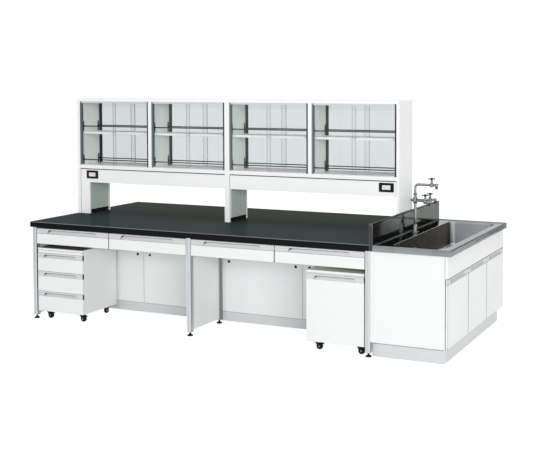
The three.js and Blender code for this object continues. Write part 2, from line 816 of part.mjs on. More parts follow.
place(bench, 'sink_cabinet', sinkCabinet(), whiteBoard);
const cabinetDoorGeometry = cabinetDoor();
Array.from({ length: cabinetDoorCount }, (_, i) => {
  const y = doorPitch * (i + 0.5) - cabinetHalf;
  const mesh = place(bench, `sink_door_${i + 1}`, cabinetDoorGeometry, whiteBoard, doorPlane, y);
  mesh.rotation.z = Math.PI / 2;
  return mesh;
});
place(bench, 'sink_top', sinkTop(), stainless);
place(bench, 'waste_trap', wasteTrap(), greyPlastic);

// Faucet, in a frame with its column at x = 0, y = 0 and the sink deck at z = 0
const faucet = new THREE.Group();
faucet.position.set(sinkStart + faucetInset, 0, sinkDeck + clearance);
const valveTop = crossHeight + valveHeight / 2;
const handleBottom = valveTop + clearance;
const armTurns = [-1, 1].map((side) => side * THREE.MathUtils.degToRad(armAngle));
const armEnd = (turn, reach) => [Math.cos(turn) * reach, Math.sin(turn) * reach];

// A valve body with a narrower bonnet, and the stem that its handle turns on
function valve(x, y, z) {
  const r = valveDiameter / 2;
  const half = valveHeight / 2;
  const bonnet = bonnetDiameter / 2;
  const stem = stemDiameter / 2;
  return turned([
    [0, -half], [bonnet, -half], [r, turnedEdge - half], [r, half - bonnetHeight - turnedEdge],
    [bonnet, half - bonnetHeight], [bonnet, half],
    [stem, half], [stem, half + stemHeight], [0, half + stemHeight],
  ], 12).translate(x, y, z);
}

// A ribbed hose nozzle that points down from the height given, under a plain collar
function nozzle(x, y, z) {
  const collar = nozzleCollarDiameter / 2;
  const r = nozzleDiameter / 2;
  const rib = (nozzleLength - nozzleCollarHeight) / nozzleRibs;
  const ribs = Array.from({ length: nozzleRibs }, (_, i) => {
    const top = -nozzleCollarHeight - rib * i;
    return [[r, top], [r - nozzleRibDepth, top - rib]];
  });
  return turned([
    [0, 0], [collar, 0], [collar, -nozzleCollarHeight], ...ribs.flat(), [0, -nozzleLength],
  ], 10).translate(x, y, z);
}

// What ends each branch: its valve, then a short tube with the nozzle hanging from its end
function branchEnd(turn, reach, z) {
  const [x, y] = armEnd(turn, reach);
  const [tipX, tipY] = armEnd(turn, reach + nozzleOffset);
  return [
    rod(armDiameter, [x, y, z], [tipX, tipY, z], 10),
    valve(x, y, z), nozzle(tipX, tipY, z + armDiameter / 2),
  ];
}

function faucetColumn() {
  const r = pipeDiameter / 2;
  const cross = crossDiameter / 2;
  const flange = flangeDiameter / 2;
  const crossBottom = crossHeight - crossLength / 2;
  const crossTop = crossHeight + crossLength / 2;
  const post = turned([
    [0, 0], [flange, 0], [flange, flangeHeight - turnedEdge], [cross + turnedEdge, flangeHeight],
    [cross, sleeveHeight], [r, sleeveHeight + turnedEdge], [r, crossBottom - turnedEdge],
    [cross, crossBottom], [cross, crossTop], [r, crossTop + turnedEdge], [r, swivelHeight], [0, swivelHeight],
  ], 16);
  const plugProfile = turned([
    [0, 0], [armDiameter / 2, 0], [armDiameter / 2, plugReach - plugTaper], [plugTipDiameter / 2, plugReach],
    [0, plugReach],
  ], 10);
  const plug = plugProfile.rotateY(-Math.PI / 2).translate(0, 0, crossHeight);
  const arms = armTurns.flatMap((turn) => {
    const [x, y] = armEnd(turn, armReach);
    return [
      rod(armDiameter, [0, 0, crossHeight], [x, y, crossHeight], 10),
      ...branchEnd(turn, armReach, crossHeight),
    ];
  });
  return toGeometry(join([post, plug, ...arms]));
}

// Cross handle with four rounded arms and a hub that drops over its stem
function crossHandle() {
  const hub = rod(hubDiameter, [0, 0, 0], [0, 0, hubHeight], 12);
  const barHeight = hubHeight / 2;
  const bars = [0, Math.PI / 2].map((turn) => {
    const [x, y] = armEnd(turn, handleSpan / 2);
    return rod(handleThickness, [-x, -y, barHeight], [x, y, barHeight], 8);
  });
  const bore = rod(stemDiameter + clearance * 4, [0, 0, -overlap], [0, 0, stemHeight + clearance], 10);
  return toGeometry(cut(join([hub, ...bars]), [bore]));
}

// Neck that swivels on the column: up, over towards the basin, then a valve and a nozzle
const neckTop = swivelHeight + neckRise;

function gooseneck() {
  const collarFoot = swivelHeight + clearance;
  const path = new THREE.CurvePath();
  const bendStart = new THREE.Vector3(0, 0, neckTop - neckBend);
  const bendEnd = new THREE.Vector3(neckBend, 0, neckTop);
  path.add(new THREE.LineCurve3(new THREE.Vector3(0, 0, collarFoot), bendStart));
  path.add(new THREE.QuadraticBezierCurve3(bendStart, new THREE.Vector3(0, 0, neckTop), bendEnd));
  path.add(new THREE.LineCurve3(bendEnd, new THREE.Vector3(neckReach, 0, neckTop)));
  const section = new THREE.Shape();
  section.absarc(0, 0, neckDiameter / 2, 0, Math.PI * 2);
  const tube = weld(new THREE.ExtrudeGeometry(section, { steps: 12, extrudePath: path, curveSegments: 6 }));
  const collar = rod(collarDiameter, [0, 0, collarFoot], [0, 0, collarFoot + collarHeight], 16);
  return toGeometry(join([tube, collar, ...branchEnd(0, neckReach, neckTop)]));
}

place(faucet, 'faucet_column', faucetColumn(), chrome);
place(faucet, 'faucet_gooseneck', gooseneck(), chrome);
const handleGeometry = crossHandle();
armTurns.forEach((turn, i) => {
  const [x, y] = armEnd(turn, armReach);
  place(faucet, `faucet_handle_${i ? 'back' : 'front'}`, handleGeometry, chrome, x, y, handleBottom);
});
const neckHandleBottom = neckTop + valveHeight / 2 + clearance;
place(faucet, 'faucet_handle_neck', handleGeometry, chrome, neckReach, 0, neckHandleBottom);
bench.add(faucet);

// Reagent shelf: two glazed units side by side along the middle of the worktop
const shelfFoot = benchHeight + clearance;
const shelfLeft = leftEnd + shelfLeftInset;
const unitWidth = (sinkStart - clearance - shelfLeft - endPanelThickness - unitGap) / 2;
const halfDepth = shelfDepth / 2;
const baseTop = benchHeight + baseBoardTop;
const baseBottom = baseTop - baseBoardThickness;
const shelfCrown = benchHeight + shelfHeight;
const crownUnderside = shelfCrown - shelfTopThickness;
const midTop = benchHeight + midBoardTop;
const fasciaBottom = baseBottom - fasciaHeight;
const bayInner = (unitWidth - uprightThickness * 2 - dividerThickness) / 2;
const bayStarts = [uprightThickness, uprightThickness + bayInner + dividerThickness];
const outerGlassY = halfDepth - trackEdge - trackRib / 2 - glassThickness / 2;
const innerGlassY = outerGlassY - trackPitch;

// One glazing track: a channel with a rib on each side of either pane, drawn for the +Y face
function glazingTrack(x0, x1, seat, towards) {
  const glassHalf = glassThickness / 2 + glassPlay;
  const outer = halfDepth - trackEdge;
  const inner = innerGlassY - glassHalf - trackRib / 2;
  const rib = towards > 0 ? trackRib : topTrackRib;
  const section = outline([
    [inner, seat], [outer, seat], [outer, seat + towards * rib],
    [outerGlassY + glassHalf, seat + towards * rib], [outerGlassY + glassHalf, seat + towards * trackFloor],
    [outerGlassY - glassHalf, seat + towards * trackFloor], [outerGlassY - glassHalf, seat + towards * rib],
    [innerGlassY + glassHalf, seat + towards * rib], [innerGlassY + glassHalf, seat + towards * trackFloor],
    [innerGlassY - glassHalf, seat + towards * trackFloor], [innerGlassY - glassHalf, seat + towards * rib],
    [inner, seat + towards * rib],
  ]);
  return prismX(section, x0, x1);
}

// What stands on the +Y face of one bay: jambs, tracks and the guard rails of both boards
function bayFittings(start) {
  const end = start + bayInner;
  const jambOuter = halfDepth - trackEdge;
  const railY = halfDepth - guardRailSetback;
  const [x0, x1] = [start - overlap, end + overlap];
  const [z0, z1] = [baseTop - overlap, crownUnderside + overlap];
  const pieces = [
    block(x0, start + jambFace, jambOuter - jambDepth, jambOuter, z0, z1),
    block(end - jambFace, x1, jambOuter - jambDepth, jambOuter, z0, z1),
    glazingTrack(start, end, z0, 1), glazingTrack(start, end, z1, -1),
  ];
  const half = bracketWidth / 2;
  for (const board of [baseTop, midTop]) {
    const z = board + guardRailRise;
    const [foot, head] = [z - bracketHeight / 2, z + bracketHeight / 2];
    pieces.push(
      rod(guardRailDiameter, [x0, railY, z], [x1, railY, z], 8),
      block(x0, start + guardRailDiameter, railY - half, railY + half, foot, head),
      block(end - guardRailDiameter, x1, railY - half, railY + half, foot, head));
  }
  return pieces;
}

// An upright from front to back, which stands on two feet with a cable notch between them
function upright(x, thickness) {
  const notchTop = shelfFoot + cableNotch;
  const panel = block(x, x + thickness, -halfDepth, halfDepth, notchTop, shelfCrown);
  const feet = [-halfDepth, halfDepth - fasciaThickness].map((y) =>
    block(x, x + thickness, y, y + fasciaThickness, shelfFoot, notchTop + overlap));
  return [panel, ...feet];
}

// Cable column under the socket plates: a plate on each face and a panel between them, over a notch
function cableColumn() {
  const face = halfDepth - fasciaSetback;
  const top = fasciaBottom + overlap;
  const left = uprightThickness - overlap;
  const plates = [-face, face - fasciaThickness].map((y) =>
    block(left, columnWidth, y, y + fasciaThickness, shelfFoot, top));
  const panelRight = columnWidth - columnPanelSetback;
  const panel = block(
    panelRight - fasciaThickness, panelRight, -face + overlap, face - overlap,
    shelfFoot + cableNotch, baseBottom + overlap);
  return [...plates, panel];
}

function socketPlate(x) {
  const z = baseBottom - outletCentreDrop;
  const plate = roundedRectangle(
    x - outletWidth / 2, x + outletWidth / 2, z - outletHeight / 2, z + outletHeight / 2, outletCorner);
  const face = halfDepth - fasciaSetback;
  return prismY(plate, face - overlap, face + outletThickness, 2);
}

// One unit, from x = 0 to its width: uprights, boards, fascias, divider and everything fixed to them.
// The left unit also has an end panel and the cable column.
function shelfUnit(isLeft, outletX) {
  const dividerX = bayStarts[0] + bayInner;
  const midHalf = halfDepth - midBoardSetback;
  const start = isLeft ? -endPanelThickness : 0;
  const pieces = [
    ...upright(start, uprightThickness - start), ...upright(unitWidth - uprightThickness, uprightThickness),
    block(start, unitWidth, -halfDepth, halfDepth, crownUnderside, shelfCrown),
    block(overlap, unitWidth - overlap, -halfDepth, halfDepth, baseBottom, baseTop),
    block(overlap, unitWidth - overlap, -midHalf, midHalf, midTop - midBoardThickness, midTop),
    block(
      dividerX, dividerX + dividerThickness, -halfDepth, halfDepth,
      baseTop - overlap, crownUnderside + overlap),
  ];
  if (isLeft) pieces.push(...cableColumn());
  const face = halfDepth - fasciaSetback;
  const faceFittings = [
    block(overlap, unitWidth - overlap, face - fasciaThickness, face, fasciaBottom, baseBottom + overlap),
    socketPlate(outletX), ...bayStarts.flatMap(bayFittings),
  ];
  for (const piece of faceFittings) pieces.push(piece, mirroredInY(piece));
  return toGeometry(join(pieces));
}

const firstUnit = shelfLeft + endPanelThickness;
const unitStarts = [firstUnit, firstUnit + unitWidth + unitGap];
place(bench, 'shelf_unit_left', shelfUnit(true, leftOutletInset), whiteBoard, unitStarts[0]);
place(bench, 'shelf_unit_right', shelfUnit(false, unitWidth - rightOutletInset), whiteBoard, unitStarts[1]);

// Sliding panes: two to a bay on each face, the left one in the outer track
const clearWidth = bayInner - jambFace * 2;
const paneWidth = (clearWidth + glassOverlap) / 2 - clearance;
const paneBottom = baseTop - overlap + trackFloor + clearance;
const paneTop = crownUnderside + overlap - trackFloor - glassLift;

function pane() {
  const half = glassThickness / 2;
  return toGeometry(solid(block(0, paneWidth, -half, half, paneBottom, paneTop)));
}

const paneGeometry = pane();
unitStarts.forEach((unitStart, unit) => {
  bayStarts.forEach((bayStart, half) => {
    const bay = unit * bayStarts.length + half + 1;
    const x0 = unitStart + bayStart + jambFace + clearance;
    const x1 = unitStart + bayStart + bayInner - jambFace - clearance - paneWidth;
    for (const [sideName, side] of [['front', -1], ['back', 1]]) {
      place(bench, `pane_${sideName}_${bay}_left`, paneGeometry, glass, x0, side * outerGlassY);
      place(bench, `pane_${sideName}_${bay}_right`, paneGeometry, glass, x1, side * innerGlassY);
    }
  });
});

export default bench;
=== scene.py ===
"""Looks of the lab bench with reagent shelf: boards, profiles, steel, glass and fittings on the CAD frame."""
from math import cos, pi, radians, sin

import bmesh
import bpy
from mathutils import Matrix, Vector


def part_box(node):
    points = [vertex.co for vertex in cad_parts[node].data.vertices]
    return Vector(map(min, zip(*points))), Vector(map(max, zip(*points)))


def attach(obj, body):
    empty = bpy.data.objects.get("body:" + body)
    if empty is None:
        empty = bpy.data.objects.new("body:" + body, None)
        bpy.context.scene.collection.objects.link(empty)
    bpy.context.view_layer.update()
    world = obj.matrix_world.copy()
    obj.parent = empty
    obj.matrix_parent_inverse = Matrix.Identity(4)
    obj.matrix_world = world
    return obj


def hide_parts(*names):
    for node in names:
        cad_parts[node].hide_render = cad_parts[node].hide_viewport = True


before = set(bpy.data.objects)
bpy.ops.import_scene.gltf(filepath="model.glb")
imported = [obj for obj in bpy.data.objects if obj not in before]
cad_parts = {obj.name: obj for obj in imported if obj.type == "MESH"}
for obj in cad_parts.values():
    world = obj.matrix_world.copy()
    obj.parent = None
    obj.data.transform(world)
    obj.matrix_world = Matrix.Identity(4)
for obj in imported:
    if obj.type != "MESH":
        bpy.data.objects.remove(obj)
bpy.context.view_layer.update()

# Axis of what is turned upright
UP = (0, 0, 1)

# Sizes in millimetres, where the frame's own boxes don't give them. Relief is the depth of a finish's grain.
MM = 0.001
CLEAR = 0.3
RELIEF = 0.3

# Bench: the worktop's painted reflection, which changes from front to back, posts, feet, panels
# and the rails that carry the drawers
PAINTED_REFLECTION_BLEND = 120
POST = 40
POST_GROOVE = 9
FOOT = 30
FOOT_PAD = 44
FOOT_PAD_HEIGHT = 7
FOOT_STEM = 16
FOOT_THREAD = 6
PARTITION = 18
PARTITION_LIFT = 40
RAIL = 40
RUNNER = 12
RUNNER_LEDGE = 9
RUNNER_GAP = 4
HANGER = 18
SHADE_STRIP = (3, 15)
KICK = 96.5
SEAM = 3
SEAM_FOOT = 100
FINGER_HOLE = 25
FINGER_HOLE_HEIGHT = 503
FINGER_HOLE_INSET = 60
CUP_WALL = 1.6
CUP_DEPTH = 14
CUP_SEAT = 9

# Drawers: front, grip profile along its top, and the box behind it, given as its lift and height
FRONT = 18
BOX_WALL = 12
BOX_ROOM = 14
BENCH_BOX = (26, 86)
BENCH_STRIP = 42
BENCH_GRIP_MARGIN = 108
DRAWER_TOP_GAP = 5
DRAWER_EDGE_SEAL = 0.5
GRIP_DEPTH = 12
GRIP_TOP_LIP = 11
GRIP_LIP = 4
GRIP_SLANT = 16

# Wagons and their casters. A fork is given as the inner and outer face of a cheek, from its middle.
WAGON_WALL = 16
WAGON_TOP = 17
TOP_SHEET = 1.6
TOP_SHEET_RISE = 0.6
TOP_SHEET_INSET = 4
WAGON_STRIP = 40
WAGON_GRIP_MARGIN = 57
WAGON_BOX = (24, 95)
WAGON_SHELF = 320
RAIL_GAP = 2.5
SEAL = 2.5
CASTER_HEIGHT = 68
CASTER_PLATE = 56
CASTER_SHEET = 4
CASTER_INSET = 60
CASTER_TRAIL = 20
FORK = (10.6, 13.6)
WHEEL_RADIUS = 25
AXLE = 8
AXLE_HALF = 13
KINGPIN = 12

# Reagent shelf: board heights are above the worktop
SHELF_HALF = 150
UPRIGHT = 22
END_PACKING = 9
DIVIDER = 32
SHELF_TOP = 25
BASE_TOP = 422
BASE_BOARD = 29
BASE_SHADE_GAP = 7
MID_TOP = 713
MID_BOARD = 20
MID_SETBACK = 36
FASCIA_HEIGHT = 120
FASCIA = 18
FASCIA_SETBACK = 6
REVEAL = 3
SHADE_SHEET = 3
CABLE_NOTCH = 35
COLUMN_WIDTH = 115
COLUMN_PANEL_SETBACK = 3
JAMB_FACE = 14
JAMB_DEPTH = 27
TRACK_EDGE = 3.5
TRACK_WIDTH = 26
TRACK_FLOOR = 2
TRACK_SLOTS = ((3.5, 9.5), (14.5, 20.5))
LOWER_RIB = 8
UPPER_RIB = 14
RAIL_ROD = 9
RAIL_RISE = 46
RAIL_SETBACK = 48
BRACKET = (14, 84)
BRACKET_SHEET = 4
OUTLET = (120, 70)
OUTLET_PLATE = 5.5
OUTLET_INSERT = (68, 34)
SOCKET_PITCH = 34
OUTLET_DROP = 51
LEFT_OUTLET_INSET = 157
RIGHT_OUTLET_INSET = 103
GLASS_OVERLAP = 36

# Sink unit: cabinet, gasketed doors, pressed top and faucet
CABINET_WALL = 20
DOOR_GAP = 4
CABINET_JOINT = 2
DIVIDER_DROP = 28
PLINTH = 110
PLINTH_SETBACK = 44
PLINTH_TOE = 15
DOOR_GRIP_MARGIN = 60
DOOR_SEAL = 3.5
DOOR_EDGE_SEAL = 3
GASKET = 14
GASKET_INSET = 1.2
SINK_RIM = 44
RIM_RISE = 6
RIM_WIDTH = 14
BASIN_LEDGE = 145
BASIN_RIGHT_RIM = 77
BASIN_END_RIM = 80
BASIN_DEPTH = 200
BASIN_CORNER = 45
DRAIN = 60
SPLASHBACK = 25
FOLD = 6
FAUCET_INSET = 77
VALVE_RISE = 22.3
HANDLE_LIFT = 16
SWIVEL_DROP = 34
NOZZLE_OFFSET = 38
NOZZLE_PIPE = 9
ARM = 9.5
NECK_BEND = 24


def span(node):
    """Lowest and highest corner of a CAD node, in millimetres."""
    low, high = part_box(node)
    return Vector(low) / MM, Vector(high) / MM


def linear(colour):
    """Linear colour of an sRGB hex value."""
    parts = [int(colour[i:i + 2], 16) / 255 for i in (1, 3, 5)]
    return tuple(c / 12.92 if c <= 0.04045 else ((c + 0.055) / 1.055) ** 2.4 for c in parts) + (1.0,)


def per_mm(size):
    """Texture scale of a pattern that repeats every so many millimetres."""
    return 1 / (size * MM)


def feed(tree, made, inputs):
    """Sets a node's inputs. Each is a value, an output, or a node or list of nodes for their first output."""
    for key, given in inputs.items():
        for value in given if isinstance(given, list) else [given]:
            if isinstance(value, bpy.types.Node):
                value = next(output for output in value.outputs if output.enabled)
            if isinstance(value, bpy.types.NodeSocket):
                tree.links.new(value, made.inputs[key])
            else:
                made.inputs[key].default_value = value


def node(tree, kind, inputs=None, **settings):
    """Adds a node with its settings and links."""
    made = tree.nodes.new(kind)
    for name, value in settings.items():
        setattr(made, name, value)
    feed(tree, made, inputs or {})
    return made


def finish(name, metallic=0.0):
    """A new material with its tree, its Object coordinates and its shader.

    The IOR stays at the default of 1.5, as laminates, lacquers and plastics have.
    """
    material = bpy.data.materials.new(name)
    material.use_nodes = True
    tree = material.node_tree
    shader = tree.nodes["Principled BSDF"]
    feed(tree, shader, {"Metallic": metallic})
    return material, tree, node(tree, "ShaderNodeTexCoord").outputs["Object"], shader


def mottled(tree, shader, pattern, dark, light, rough, grain, bump):
    """Gives a shader a colour between two hex values and a roughness by a pattern, and a bump by a grain."""
    tone = node(tree, "ShaderNodeMix", {"Factor": pattern, "A": linear(dark), "B": linear(light)},
                data_type="RGBA")
    gloss = node(tree, "ShaderNodeMapRange", {"Value": pattern, "To Min": rough[0], "To Max": rough[1]})
    relief = node(tree, "ShaderNodeBump", {"Height": grain, "Strength": bump, "Distance": RELIEF * MM})
    feed(tree, shader, {"Base Color": tone, "Roughness": gloss, "Normal": relief})
    return tone


def charcoal_laminate():
    # High-pressure laminate, pressed: charcoal with a faint fleck, semi-matt, with a black core on its
    # edges. A painted reflection makes it bluish in front and greenish at the back, and a painted highlight
    # is a pale line along the arris. The fleck is drawn at 9 mm, coarser than the real one, to show.
    material, tree, place, shader = finish("charcoal_laminate")
    fleck = node(tree, "ShaderNodeTexNoise", {"Vector": place, "Scale": per_mm(9), "Detail": 5.0})
    cloud = node(tree, "ShaderNodeTexNoise", {"Vector": place, "Scale": per_mm(420), "Detail": 2.0})
    depth = node(tree, "ShaderNodeSeparateXYZ", {0: place}).outputs["Y"]
    # Painted reflection: the face turns from bluish in front to greenish at the back
    painted_reflection_depth = node(tree, "ShaderNodeMapRange", {
        "Value": depth, "From Min": -PAINTED_REFLECTION_BLEND * MM, "From Max": PAINTED_REFLECTION_BLEND * MM})
    tone = node(tree, "ShaderNodeMix", {
        "Factor": painted_reflection_depth, "A": linear("#343f3f"), "B": linear("#374038")}, data_type="RGBA")
    speck = node(tree, "ShaderNodeMapRange", {
        "Value": fleck, "From Min": 0.3, "From Max": 0.7, "To Min": 0.88, "To Max": 1.1})
    face = node(tree, "ShaderNodeVectorMath", {0: tone, "Scale": speck}, operation="SCALE")
    upward = node(tree, "ShaderNodeSeparateXYZ", {
        0: node(tree, "ShaderNodeNewGeometry").outputs["True Normal"]}).outputs["Z"]
    on_top = node(tree, "ShaderNodeMath", {0: upward, 1: 0.96}, operation="GREATER_THAN")
    on_arris = node(tree, "ShaderNodeMath", {0: upward, 1: 0.2}, operation="GREATER_THAN")
    # Painted highlight: a pale line on the arris between top and edge
    painted_arris_highlight = node(tree, "ShaderNodeMix", {
        "Factor": on_top, "A": linear("#7f8787"), "B": face}, data_type="RGBA")
    whole = node(tree, "ShaderNodeMix", {
        "Factor": on_arris, "A": linear("#17191b"), "B": painted_arris_highlight}, data_type="RGBA")
    gloss = node(tree, "ShaderNodeMapRange", {
        "Value": cloud, "From Min": 0.3, "From Max": 0.7, "To Min": 0.3, "To Max": 0.42})
    relief = node(tree, "ShaderNodeBump", {"Height": fleck, "Strength": 0.05, "Distance": RELIEF * MM})
    feed(tree, shader, {"Base Color": whole, "Roughness": gloss, "Normal": relief,
                        "Specular IOR Level": 0.0, "Coat Weight": 0.06, "Coat Roughness": 0.22})
    return material


def pearl_film(name, dark, light, cloud_size, rough):
    """Film of a board: its material, tree, Object coordinates, shader and colour."""
    material, tree, place, shader = finish(name)
    cloud = node(tree, "ShaderNodeTexNoise", {"Vector": place, "Scale": per_mm(cloud_size), "Detail": 3.0})
    pearl = node(tree, "ShaderNodeTexNoise", {"Vector": place, "Scale": per_mm(3), "Detail": 2.0})
    tone = mottled(tree, shader, cloud, dark, light, rough, pearl, 0.04)
    return material, tree, place, shader, tone


def white_melamine(name, dark, light):
    # Melamine-faced board: clean white, satin, with a barely uneven pearl in the film
    return pearl_film(name, dark, light, 350, (0.4, 0.52))[0]


def grey_kick_laminate():
    # Laminate of the knee wall and plinth: cool light grey panels, and a greyer kick strip at the foot
    # under a dark joint, whose line is also painted shade under the panels' step
    material, tree, place, shader, panel = pearl_film(
        "grey_kick_laminate", "#eaedee", "#f1f4f3", 300, (0.42, 0.55))
    height = node(tree, "ShaderNodeSeparateXYZ", {0: place}).outputs["Z"]
    above = node(tree, "ShaderNodeMath", {0: height, 1: KICK * MM}, operation="GREATER_THAN")
    plain = node(tree, "ShaderNodeMix", {
        "Factor": above, "A": linear("#d6d8d9"), "B": panel}, data_type="RGBA")
    # Dark joint line over the kick strip: partly the joint, partly painted shade under the step above it
    joint = node(tree, "ShaderNodeMath", {0: height, 1: (KICK - 1) * MM, 2: 2 * MM}, operation="COMPARE")
    whole = node(tree, "ShaderNodeMix", {
        "Factor": joint, "A": plain, "B": linear("#7d8386")}, data_type="RGBA")
    feed(tree, shader, {"Base Color": whole})
    return material


def drawn(name, dark, light, rough, stretch, metallic, bump, width):
    """Metal or paint with fine lines along one axis: stretch is the pattern's scale along X, Y and Z.

    Gives its material, tree, shader, lines and colour.
    """
    material, tree, place, shader = finish(name, metallic=metallic)
    along = node(tree, "ShaderNodeMapping", {"Vector": place, "Scale": stretch})
    lines = node(tree, "ShaderNodeTexNoise", {"Vector": along, "Scale": per_mm(width), "Detail": 3.0})
    return material, tree, shader, lines, mottled(tree, shader, lines, dark, light, rough, lines, bump)


def anodised_post(name, face, shaded_flank):
    # Extruded and anodised: pale blue-grey, satin, with faint drawing lines up the post. Its flanks are
    # painted a deeper grey than its faces, as painted shade
    material, tree, shader, lines, pale = drawn(name, *face, (0.3, 0.42), (1, 1, 0.02), 0.9, 0.08, 4)
    # Painted shade: faces turned left and right take the deeper grey
    painted_flank_shade = node(tree, "ShaderNodeMix", {
        "Factor": lines, "A": linear(shaded_flank[0]), "B": linear(shaded_flank[1])}, data_type="RGBA")
    across = node(tree, "ShaderNodeSeparateXYZ", {
        0: node(tree, "ShaderNodeNewGeometry").outputs["True Normal"]}).outputs["X"]
    facing_sideways = node(tree, "ShaderNodeMath", {
        0: node(tree, "ShaderNodeMath", {0: across}, operation="ABSOLUTE"), 1: 0.7},
        operation="GREATER_THAN")
    whole = node(tree, "ShaderNodeMix", {"Factor": facing_sideways, "A": pale, "B": painted_flank_shade}, data_type="RGBA")
    feed(tree, shader, {"Base Color": whole})
    return material


def anodised_aluminium(name, dark, light, stretch, rough=(0.3, 0.42), metallic=0.7):
    # Extruded and anodised: a deep, even colour with a satin gleam and drawing lines along the profile
    return drawn(name, dark, light, rough, stretch, metallic, 0.08, 4)[0]


def lacquered_aluminium(name, dark, light):
    # Lacquered grip profile: light neutral grey, satin, drawn along its length
    return drawn(name, dark, light, (0.34, 0.46), (0.02, 0.02, 1), 0.15, 0.04, 3)[0]


def galvanised_steel():
    # Zinc-plated sheet: dull grey with soft-edged spangle about 12 mm across
    material, tree, place, shader = finish("galvanised_steel", metallic=0.9)
    spangle = node(tree, "ShaderNodeTexVoronoi", {"Vector": place, "Scale": per_mm(12)})
    grey = node(tree, "ShaderNodeRGBToBW", {"Color": spangle.outputs["Color"]})
    mottled(tree, shader, grey, "#8d9296", "#a9adb0", (0.35, 0.55), grey, 0.03)
    return material


def stainless_steel(name, dark, light, rough, slant=0.5):
    # Brushed stainless sheet: cool grey, lines run front to back, cloudy with wiping marks. At a slant it
    # mirrors only so much of what stands beside it.
    material, tree, place, shader = finish(name, metallic=1.0)
    feed(tree, shader, {"Specular Tint": (slant, slant, slant, 1)})
    along = node(tree, "ShaderNodeMapping", {"Vector": place, "Scale": (1, 0.03, 1)})
    lines = node(tree, "ShaderNodeTexNoise", {"Vector": along, "Scale": per_mm(2.5), "Detail": 4.0})
    cloud = node(tree, "ShaderNodeTexNoise", {"Vector": place, "Scale": per_mm(160), "Detail": 3.0})
    both = node(tree, "ShaderNodeMath", {0: lines, 1: cloud}, operation="ADD")
    marks = node(tree, "ShaderNodeMapRange", {"Value": both, "From Min": 0.7, "From Max": 1.3})
    mottled(tree, shader, marks, dark, light, rough, lines, 0.04)
    return material


def chrome_plate(name, dark, light):
    # Chromed brass: a mirror, very slightly softened by water marks, that goes dark towards its outline
    material, tree, place, shader = finish(name, metallic=1.0)
    feed(tree, shader, {"Specular Tint": (0, 0, 0, 1)})
    marks = node(tree, "ShaderNodeTexNoise", {"Vector": place, "Scale": per_mm(12), "Detail": 3.0})
    mottled(tree, shader, marks, dark, light, (0.04, 0.1), marks, 0.02)
    return material


def moulded(name, dark, light, rough, grain=1.2, bump=0.12, sheen=0.5):
    """Moulded plastic or rubber with an eroded, fine-grained skin, drawn coarse enough to show."""
    material, tree, place, shader = finish(name)
    feed(tree, shader, {"Specular IOR Level": sheen})
    skin = node(tree, "ShaderNodeTexNoise", {"Vector": place, "Scale": per_mm(grain), "Detail": 3.0})
    cloud = node(tree, "ShaderNodeTexNoise", {"Vector": place, "Scale": per_mm(grain * 20), "Detail": 3.0})
    mottled(tree, shader, cloud, dark, light, rough, skin, bump)
    return material


def float_glass(name, dark, light):
    # Float glass, 5 mm: lets light through with a faint tint, and mirrors more at a slant
    material, tree, place, shader = finish(name)
    tree.nodes.remove(shader)
    tint = node(tree, "ShaderNodeTexNoise", {"Vector": place, "Scale": per_mm(600), "Detail": 1.0})
    tone = node(tree, "ShaderNodeMix", {
        "Factor": tint, "A": linear(dark), "B": linear(light)}, data_type="RGBA")
    clear = node(tree, "ShaderNodeBsdfTransparent", {"Color": tone})
    mirror = node(tree, "ShaderNodeBsdfGlossy", {"Roughness": 0.02})
    slant = node(tree, "ShaderNodeFresnel", {"IOR": 1.45})
    inside = node(tree, "ShaderNodeNewGeometry").outputs["Backfacing"]
    outside = node(tree, "ShaderNodeMath", {0: 1.0, 1: inside}, operation="SUBTRACT")
    gleam = node(tree, "ShaderNodeMath", {0: slant, 1: outside}, operation="MULTIPLY")
    both = node(tree, "ShaderNodeMixShader", {0: gleam, 1: clear, 2: mirror})
    feed(tree, tree.nodes["Material Output"], {"Surface": both})
    return material


